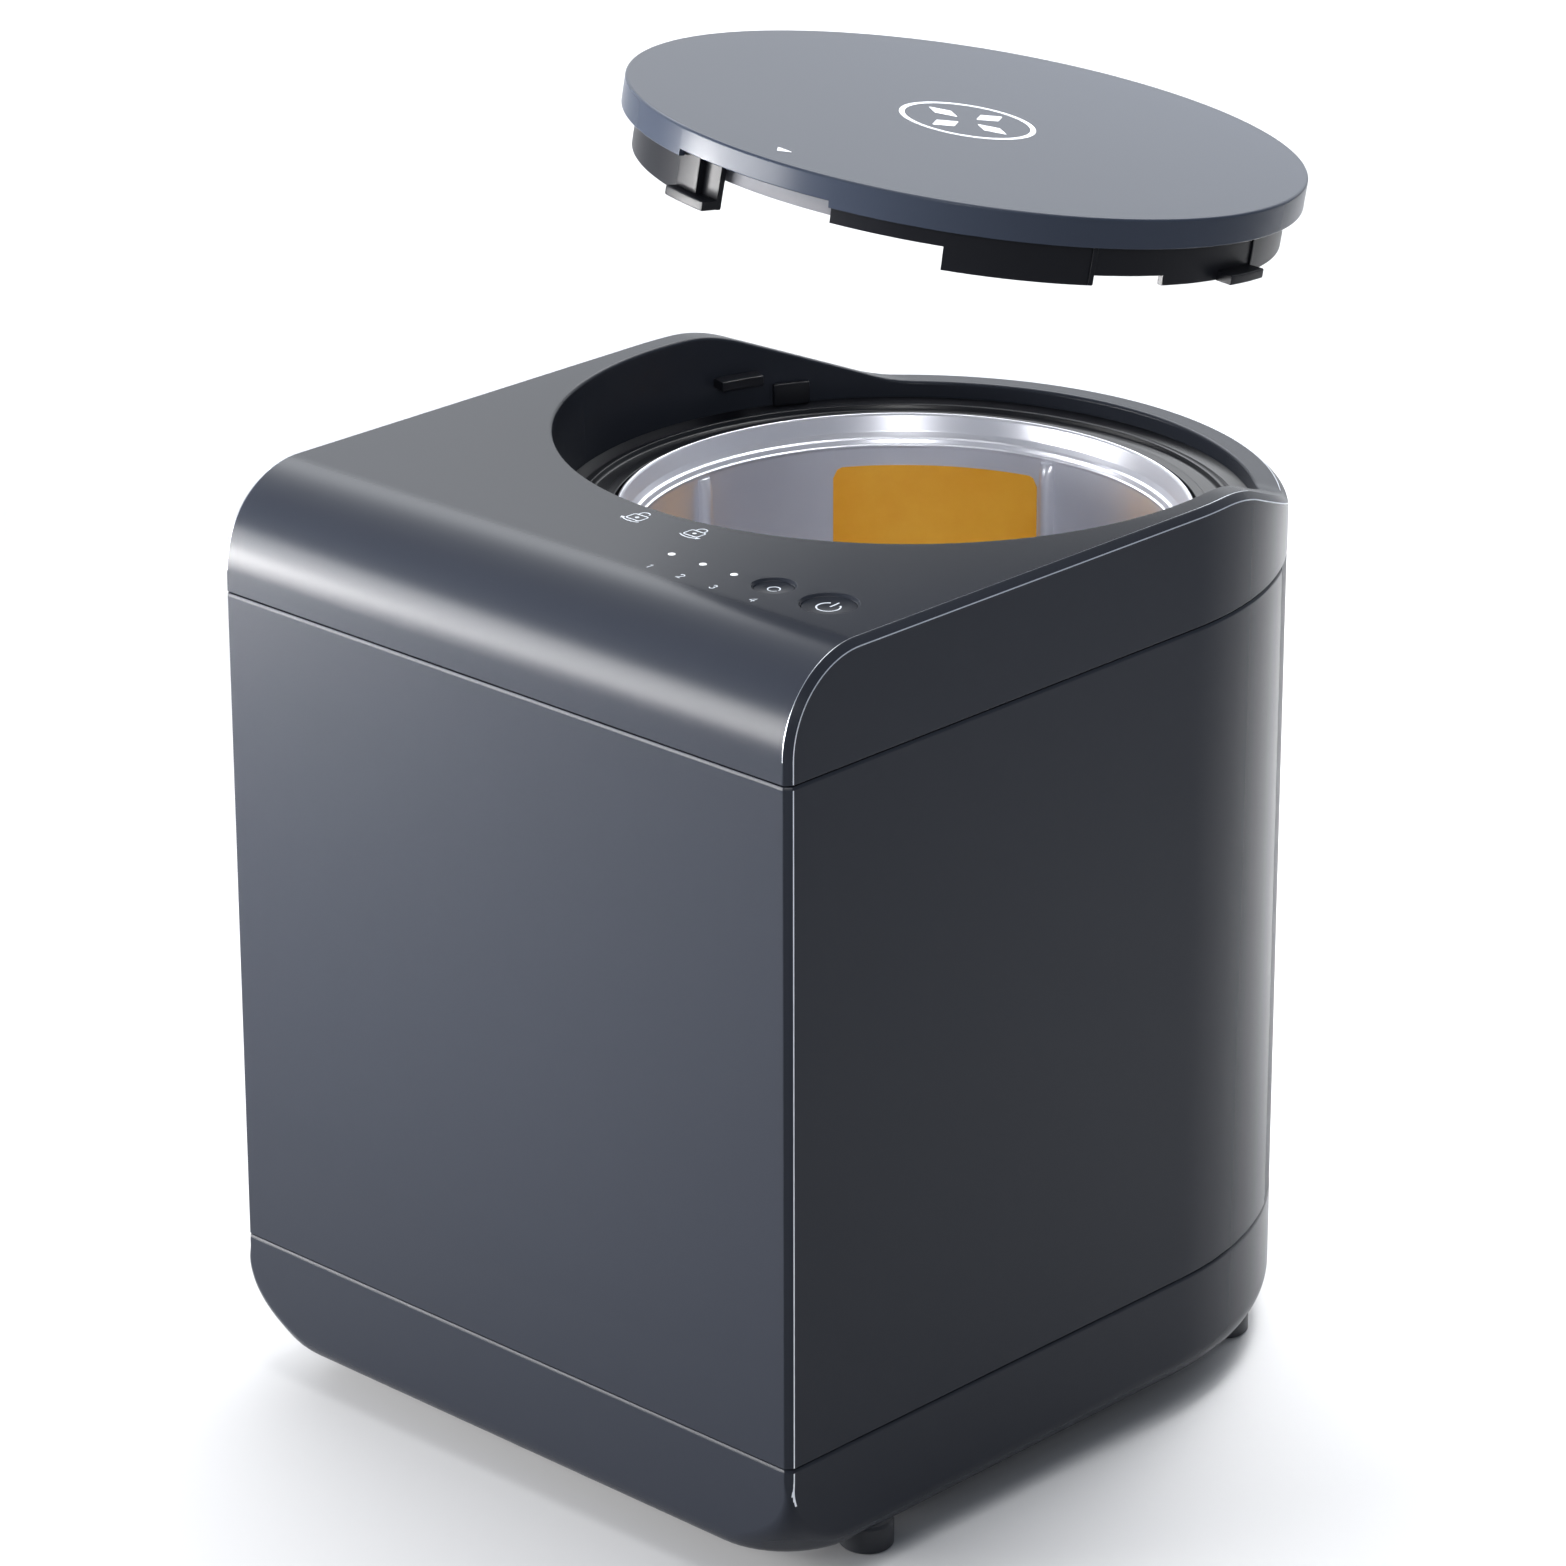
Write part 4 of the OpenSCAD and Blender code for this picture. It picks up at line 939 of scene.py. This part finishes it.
g = Geo()
zf = dish(POWER, POWER[2])
stroke(g, arc_pts(POWER[0], POWER[1] - 0.3, 4.0, 122, 418, 44), 0.6, zf, t=0.04)
stroke(g, [(POWER[0], POWER[1] - 0.3 + y) for y in lin(0.8, 5.2, 7)], 0.6, zf, t=0.04)
piece("start_symbol", g, "start_key", "print_pale")
g = Geo()
zf = dish(RESET, RESET[2])
stroke(g, arc_pts(RESET[0], RESET[1], 2.1, 0, 340, 30), 0.45, zf, t=0.04)
piece("reset_symbol", g, "reset_key", "print_pale")


# ---------------------------------------------------------------- bucket
def make_bucket():
    g = Geo()
    poly = [(11.9, 126.0), (80.0, 126.0), (80.0, 120.1), (84.0, 120.1), (84.0, 126.0), (92.0, 126.0), (97.5, 132.0), (97.5, 311.0),
            (99.4, 315.5), (100.4, 321.2), (102.3, 321.4), (102.3, 323.9), (101.3, 324.5), (100.6, 323.6), (99.0, 318.2), (97.9, 316.2),
            (96.9, 315.9), (96.2, 314.2), (95.3, 313.9), (96.0, 312.6), (96.0, 133.0), (91.0, 129.0), (11.9, 129.0)]
    rad = [0, 1, 1, 1, 1, 2, 3, 4, 3, 1, 0.6, 0.7, 0.5, 0.6, 2.0, 0.9, 0.5, 0.7, 0.6, 1.0, 4, 3, 0]
    prof = rounded(poly, rad, 5)
    prof.append(prof[0])
    lathe(g, prof, 216, (0.0, YC))
    return piece("bucket_shell", g, "bucket", "bucket_metal", ["bucket"])


def make_bucket_ribs():
    g = Geo()
    for a in (99.7, -178, -40):
        rows = []
        for z, k in [(190.0, 0.05), (194, 0.7), (200, 1.0), (250, 1.0), (300, 1.0), (308, 0.9), (311.6, 0.35), (312.2, 0.02)]:
            pts = []
            for t in lin(-90, 90, 10):
                u = 2.9 * sin(radians(t))
                d = 95.98 - 3.4 * k * cos(radians(t)) ** 0.8
                pts.append((d, u))
            pts += [(96.3, 2.9), (96.3, -2.9)]
            ca, sa = cos(radians(a)), sin(radians(a))
            rows.append(g.add([(d * ca - u * sa, YC + d * sa + u * ca, z) for d, u in pts]))
        g.rows(rows, True)
        g.f.append(tuple(reversed(rows[0])))
        g.f.append(tuple(rows[-1]))
    return piece("bucket_rib_set", g, "bucket", "bucket_metal", ["bucket_ribs"])


def make_label():
    g = Geo()
    r0, r1 = 95.62, 95.97
    a0, a1, z0, z1, rc = 102.3, 148.5, 250.0, 306.0, 4.0
    k = degrees(1 / r0)
    outline = []
    for sx, sz, a in ((1, 1, 0), (-1, 1, 90), (-1, -1, 180), (1, -1, 270)):
        cx = (a1 - rc * k) if sx > 0 else (a0 + rc * k)
        cz = (z1 - rc) if sz > 0 else (z0 + rc)
        for t in lin(a, a + 90, 5):
            outline.append((cx + rc * k * cos(radians(t)), cz + rc * sin(radians(t))))
    # sample the outline as columns so that the sheet follows the wall
    cols = lin(a0, a1, 48)
    def span(a):
        d = 0.0
        if a < a0 + rc * k:
            d = (a0 + rc * k - a) / k
        elif a > a1 - rc * k:
            d = (a - (a1 - rc * k)) / k
        h = rc - sqrt(max(0.0, rc * rc - min(rc, d) ** 2))
        return z0 + h, z1 - h
    inn_lo = g.add([(r0 * cos(radians(a)), YC + r0 * sin(radians(a)), span(a)[0]) for a in cols])
    inn_hi = g.add([(r0 * cos(radians(a)), YC + r0 * sin(radians(a)), span(a)[1]) for a in cols])
    out_lo = g.add([(r1 * cos(radians(a)), YC + r1 * sin(radians(a)), span(a)[0]) for a in cols])
    out_hi = g.add([(r1 * cos(radians(a)), YC + r1 * sin(radians(a)), span(a)[1]) for a in cols])
    for a, b in ((inn_lo, inn_hi), (inn_hi, out_hi), (out_hi, out_lo), (out_lo, inn_lo)):
        g.band(a, b, False)
    g.f.append((inn_lo[0], out_lo[0], out_hi[0], inn_hi[0]))
    g.f.append((inn_lo[-1], inn_hi[-1], out_hi[-1], out_lo[-1]))
    return piece("bucket_patch", g, "bucket", "orange_label", ["bucket_label"])


make_bucket()
make_bucket_ribs()
make_label()


# ---------------------------------------------------------------- lid
def stepped_lathe(g, profile_fn, breaks, n=240):
    """A closed ring whose section changes with the angle; sections have equal counts. breaks are angles of sudden changes."""
    angs = sorted(set([round(360.0 * k / n, 4) for k in range(n)] + [round((b + d) % 360, 4) for b in breaks for d in (-0.06, 0.06)]))
    rows = []
    for a in angs:
        rows.append(g.add([(r * cos(radians(a)), r * sin(radians(a)), z) for r, z in profile_fn(a)]))
    m = len(rows[0])
    for k in range(len(rows)):
        a, b = rows[k], rows[(k + 1) % len(rows)]
        for j in range(m):
            q = (j + 1) % m
            g.f.append((a[j], a[q], b[q], b[j]))


def within(a, lo, hi):
    return (a - lo) % 360 <= (hi - lo) % 360


def make_lid_cover():
    g = Geo()

    def sec(a):
        zb = -BAND + (2.3 if within(a, -102, -70.3) else 0.0)
        poly = [(60.0, 0.0), (LID_R, 0.0), (LID_R, zb), (LID_R - 2.4, zb), (LID_R - 2.4, -2.6), (60.0, -2.6)]
        return closed_rounded(poly, [0, 1.0, 0.45, 0.45, 0.5, 0], 4) if False else (
            [(60.0, 0.0), (100.0, 0.0)] + rounded([(100.0, 0.0), (LID_R, 0.0), (LID_R, zb), (LID_R - 2.4, zb), (LID_R - 2.4, -2.6), (100.0, -2.6)],
                                                 [0, 1.0, 0.45, 0.45, 0.5, 0], 4)[1:] + [(60.0, -2.6)])

    stepped_lathe(g, sec, [-102, -70.3], 240)
    # discs that close the middle, above and below
    m = 240
    # reuse the ring's innermost points by welding: same angles as the ring
    angs = sorted(set([round(360.0 * k / 240, 4) for k in range(240)] + [round((b + d) % 360, 4) for b in (-102, -70.3) for d in (-0.06, 0.06)]))
    for z in (0.0, -2.6):
        ring = g.add([(60.0 * cos(radians(a)), 60.0 * sin(radians(a)), z) for a in angs])
        c = g.add([(0.0, 0.0, z)])[0]
        g.fan(ring, c)
    # drop the section's own inner wall between the two discs
    inner = []
    for f in g.f:
        rs = [hypot(g.v[i][0], g.v[i][1]) for i in f]
        zs = [g.v[i][2] for i in f]
        if all(abs(r - 60.0) < 1e-6 for r in rs) and max(zs) - min(zs) > 1.0:
            inner.append(f)
    g.f = [f for f in g.f if f not in set(inner)]
    return piece("lid_cover_disc", g, "lid", "lid_grey", ["lid_cover"], matrix=LID)


def make_lid_skirt():
    g = Geo()

    def bottom(a):
        if within(a, -94, -70.8):
            return -9.0
        if within(a, -70.8, -50.8):
            return -17.0
        if within(a, -24.4, -10.5):
            return -21.5
        return -25.0

    def sec(a):
        zb = bottom(a)
        poly = [(106.0, -2.7), (116.6, -2.7), (116.6, -5.2), (113.6, -5.3), (113.6, zb), (111.2, zb), (111.2, -5.3), (106.0, -5.2)]
        ext = [(106.0, -4.0)] + poly[0:1] + poly[1:] + [(106.0, -4.0)]
        pr = rounded(ext, [0, 0.3, 0.3, 0.3, 0.8, 0.5, 0.5, 0.8, 0.3, 0], 3)
        return pr[:-1]

    stepped_lathe(g, sec, [-94, -70.8, -50.8, -24.4, -10.5], 240)
    for a in (-99, 8, 152):
        arc_block(g, 113.3, 120.0, a - 5, a + 5, -25.0, -21.6, (0, 0), 0.5, 10)
    arc_block(g, 113.3, 116.4, -104, -98, -21.8, -5.2, (0, 0), 0.6, 8)
    # a short stiffening web beside each step, as on the moulded part
    for a in (-24.9, 13.6):
        arc_block(g, 113.3, 114.3, a - 0.45, a + 0.45, -24.6, -5.2, (0, 0), 0.3, 3)
    return piece("lid_skirt_ring", g, "lid", "lid_black", ["lid_skirt"], matrix=LID)


def make_badge():
    g = Geo()
    prof = closed_rounded([(22.0, -0.3), (24.0, -0.3), (24.0, 0.10), (22.0, 0.10)], [0, 0, 0.09, 0.09], 3)
    lathe(g, prof + [prof[0]], 96)
    for a in (0, 90, 180, 270):
        base = [(-7, 0), (0, -4.2), (7, 0), (0, 4.2)]
        lo = closed_rounded(base, 0.5, 4)
        ca, sa = cos(radians(a)), sin(radians(a))
        def ring(k, z):
            return g.add([((11.5 + x * k) * ca - y * k * sa, (11.5 + x * k) * sa + y * k * ca, z) for x, y in lo])
        r = [ring(1.0, -0.3), ring(1.0, 0.06), ring(0.985, 0.10)]
        g.rows(r, True)
        g.f.append(tuple(r[-1]))
        g.f.append(tuple(reversed(r[0])))
    return piece("lid_badge_inlay", g, "lid", "badge_silver", ["lid_badge"], matrix=LID)


def make_mark():
    g = Geo()
    tri = closed_rounded([(-3.4, 1.6), (3.4, 1.6), (0, -2.6)], 0.35, 4)
    a = g.add([(9.3 + x, -104 + y, 0.08) for x, y in tri])
    b = g.add([(9.3 + x, -104 + y, -0.2) for x, y in tri])
    g.band(a, b, True)
    g.f.append(tuple(a))
    g.f.append(tuple(reversed(b)))
    return piece("lid_mark_inlay", g, "lid", "mark_white", ["lid_mark"], matrix=LID)


make_lid_cover()
make_lid_skirt()
make_badge()
make_mark()

# ---------------------------------------------------------------- materials on the CAD nodes that stay, with softened edges
SOFT_SKIP = {"output_gear", "idler_gear", "motor_pinion", "vent_ball"}
for node, ob in NODES.items():
    ob.data.materials.clear()
    ob.data.materials.append(M.get(SLOT_OF.get(node), M["black_parts"]))
    if ob.hide_render:
        continue
    if node not in SOFT_SKIP:
        b = ob.modifiers.new("edges", "BEVEL")
        b.width = 0.00022
        b.segments = 2
        b.limit_method = "ANGLE"
        b.angle_limit = radians(48)
        b.use_clamp_overlap = True
        b.harden_normals = False
    w = ob.modifiers.new("normals", "WEIGHTED_NORMAL")
    w.keep_sharp = True

# ---------------------------------------------------------------- stage, lights, camera
scene = bpy.context.scene
scene.view_settings.view_transform = "Standard"
scene.view_settings.look = "None"


def stage_floor():
    me = bpy.data.meshes.new("studio_floor")
    bm = bmesh.new()
    vs = [bm.verts.new((x, y, 0.0)) for x, y in ((-6, -6), (6, -6), (6, 6), (-6, 6))]
    bm.faces.new(vs)
    bm.to_mesh(me)
    bm.free()
    ob = bpy.data.objects.new("studio_floor", me)
    scene.collection.objects.link(ob)
    m = Mat("floor_paper")
    c = m.noise(3.0, 2.0)
    m.link(m.ramp(c, [(0.3, (0.585, 0.585, 0.59, 1)), (0.7, (0.60, 0.60, 0.605, 1))]), m.b.inputs["Base Color"])
    m.set(Roughness=0.9, Specular_IOR_Level=0.1)
    me.materials.append(m.m)
    return ob


stage_floor()

world = bpy.data.worlds.new("studio")
scene.world = world
world.use_nodes = True
wt = world.node_tree
bg = wt.nodes["Background"]


def dome():
    """A dim even dome with one large soft panel low at the back left, brightest at its upper edge."""
    tc = wt.nodes.new("ShaderNodeTexCoord")
    sep = wt.nodes.new("ShaderNodeSeparateXYZ")
    wt.links.new(tc.outputs["Generated"], sep.inputs[0])
    flat = wt.nodes.new("ShaderNodeVectorMath")
    flat.operation = "MULTIPLY"
    flat.inputs[1].default_value = (1.0, 1.0, 0.0)
    wt.links.new(tc.outputs["Generated"], flat.inputs[0])
    unit = wt.nodes.new("ShaderNodeVectorMath")
    unit.operation = "NORMALIZE"
    wt.links.new(flat.outputs[0], unit.inputs[0])
    dot = wt.nodes.new("ShaderNodeVectorMath")
    dot.operation = "DOT_PRODUCT"
    dot.inputs[1].default_value = (-0.66, 0.751, 0.0)
    wt.links.new(unit.outputs[0], dot.inputs[0])
    side = wt.nodes.new("ShaderNodeMapRange")
    side.interpolation_type = "SMOOTHSTEP"
    side.inputs["From Min"].default_value = 0.45
    side.inputs["From Max"].default_value = 0.88
    wt.links.new(dot.outputs["Value"], side.inputs["Value"])
    ramp = wt.nodes.new("ShaderNodeValToRGB")
    e = ramp.color_ramp.elements
    stops = [(0.0, 0.10), (0.12, 0.15), (0.41, 0.155), (0.53, 0.86), (0.65, 0.86), (0.72, 0.03)]
    while len(e) < len(stops):
        e.new(0.5)
    for k, (z, v) in enumerate(stops):
        e[k].position = z
        e[k].color = (v * 0.945, v * 0.97, v, 1)
    wt.links.new(sep.outputs["Z"], ramp.inputs["Fac"])
    mix = wt.nodes.new("ShaderNodeMix")
    mix.data_type = "RGBA"
    mix.inputs[6].default_value = (0.0285, 0.031, 0.0355, 1)
    wt.links.new(side.outputs["Result"], mix.inputs[0])
    wt.links.new(ramp.outputs["Color"], mix.inputs[7])
    wt.links.new(mix.outputs[2], bg.inputs["Color"])
    bg.inputs["Strength"].default_value = 10.0


dome()


def area(name, loc, target, size, power, color=(1, 1, 1), size_y=None, spread=None):
    d = bpy.data.lights.new(name, "AREA")
    d.energy = power
    d.color = color
    d.size = size
    if size_y:
        d.shape = "RECTANGLE"
        d.size_y = size_y
    if spread is not None:
        d.spread = radians(spread)
    o = bpy.data.objects.new(name, d)
    o.location = loc
    o.rotation_mode = "QUATERNION"
    o.rotation_quaternion = (Vector(target) - Vector(loc)).to_track_quat("-Z", "Y")
    scene.collection.objects.link(o)
    return o


area("top_soft", (0.15, 0.05, 1.7), (0.08, 0.0, 0.2), 1.2, 19.0)
area("front_left_low", (-0.78, -1.08, 0.42), (-0.16, -0.17, 0.36), 1.0, 11.4, color=(1.0, 0.992, 0.985), size_y=0.52, spread=80)
area("left_accent", (-0.93, -0.71, 0.16), (-0.14, -0.17, 0.26), 0.3, 1.35, color=(1.0, 0.992, 0.985), spread=30)
area("backdrop_pool", (0.0, 0.80, 1.0), (0.0, 0.66, 0.0), 0.3, 5.8, size_y=0.8, spread=75)
area("backdrop_far", (-1.2, 1.3, 1.6), (-1.3, 1.4, 0.0), 1.2, 12.0, spread=100)
area("opening_fill", (1.30, -1.35, 1.22), (-0.02, 0.06, 0.315), 0.35, 0.14, spread=14)

TGT = Vector((0.004079, -0.0335, 0.22637))
AZ, EL, ROLL = radians(43.626), radians(21.739), radians(-0.112)
back = Vector((sin(AZ) * cos(EL), -cos(AZ) * cos(EL), sin(EL)))
cd = bpy.data.cameras.new("camera")
cd.sensor_width = 36.0
cd.lens = 6537.93 / 1566 * 36.0
cd.clip_start, cd.clip_end = 0.1, 60.0
cam = bpy.data.objects.new("camera", cd)
scene.collection.objects.link(cam)
cam.location = TGT + back * 2.29227
right = Vector((cos(AZ), sin(AZ), 0.0))
up = back.cross(right)
r2 = right * cos(ROLL) + up * sin(ROLL)
u2 = -right * sin(ROLL) + up * cos(ROLL)
cam.matrix_world = Matrix(((r2.x, u2.x, back.x, cam.location.x), (r2.y, u2.y, back.y, cam.location.y), (r2.z, u2.z, back.z, cam.location.z), (0, 0, 0, 1)))
scene.camera = cam

bpy.context.view_layer.update()
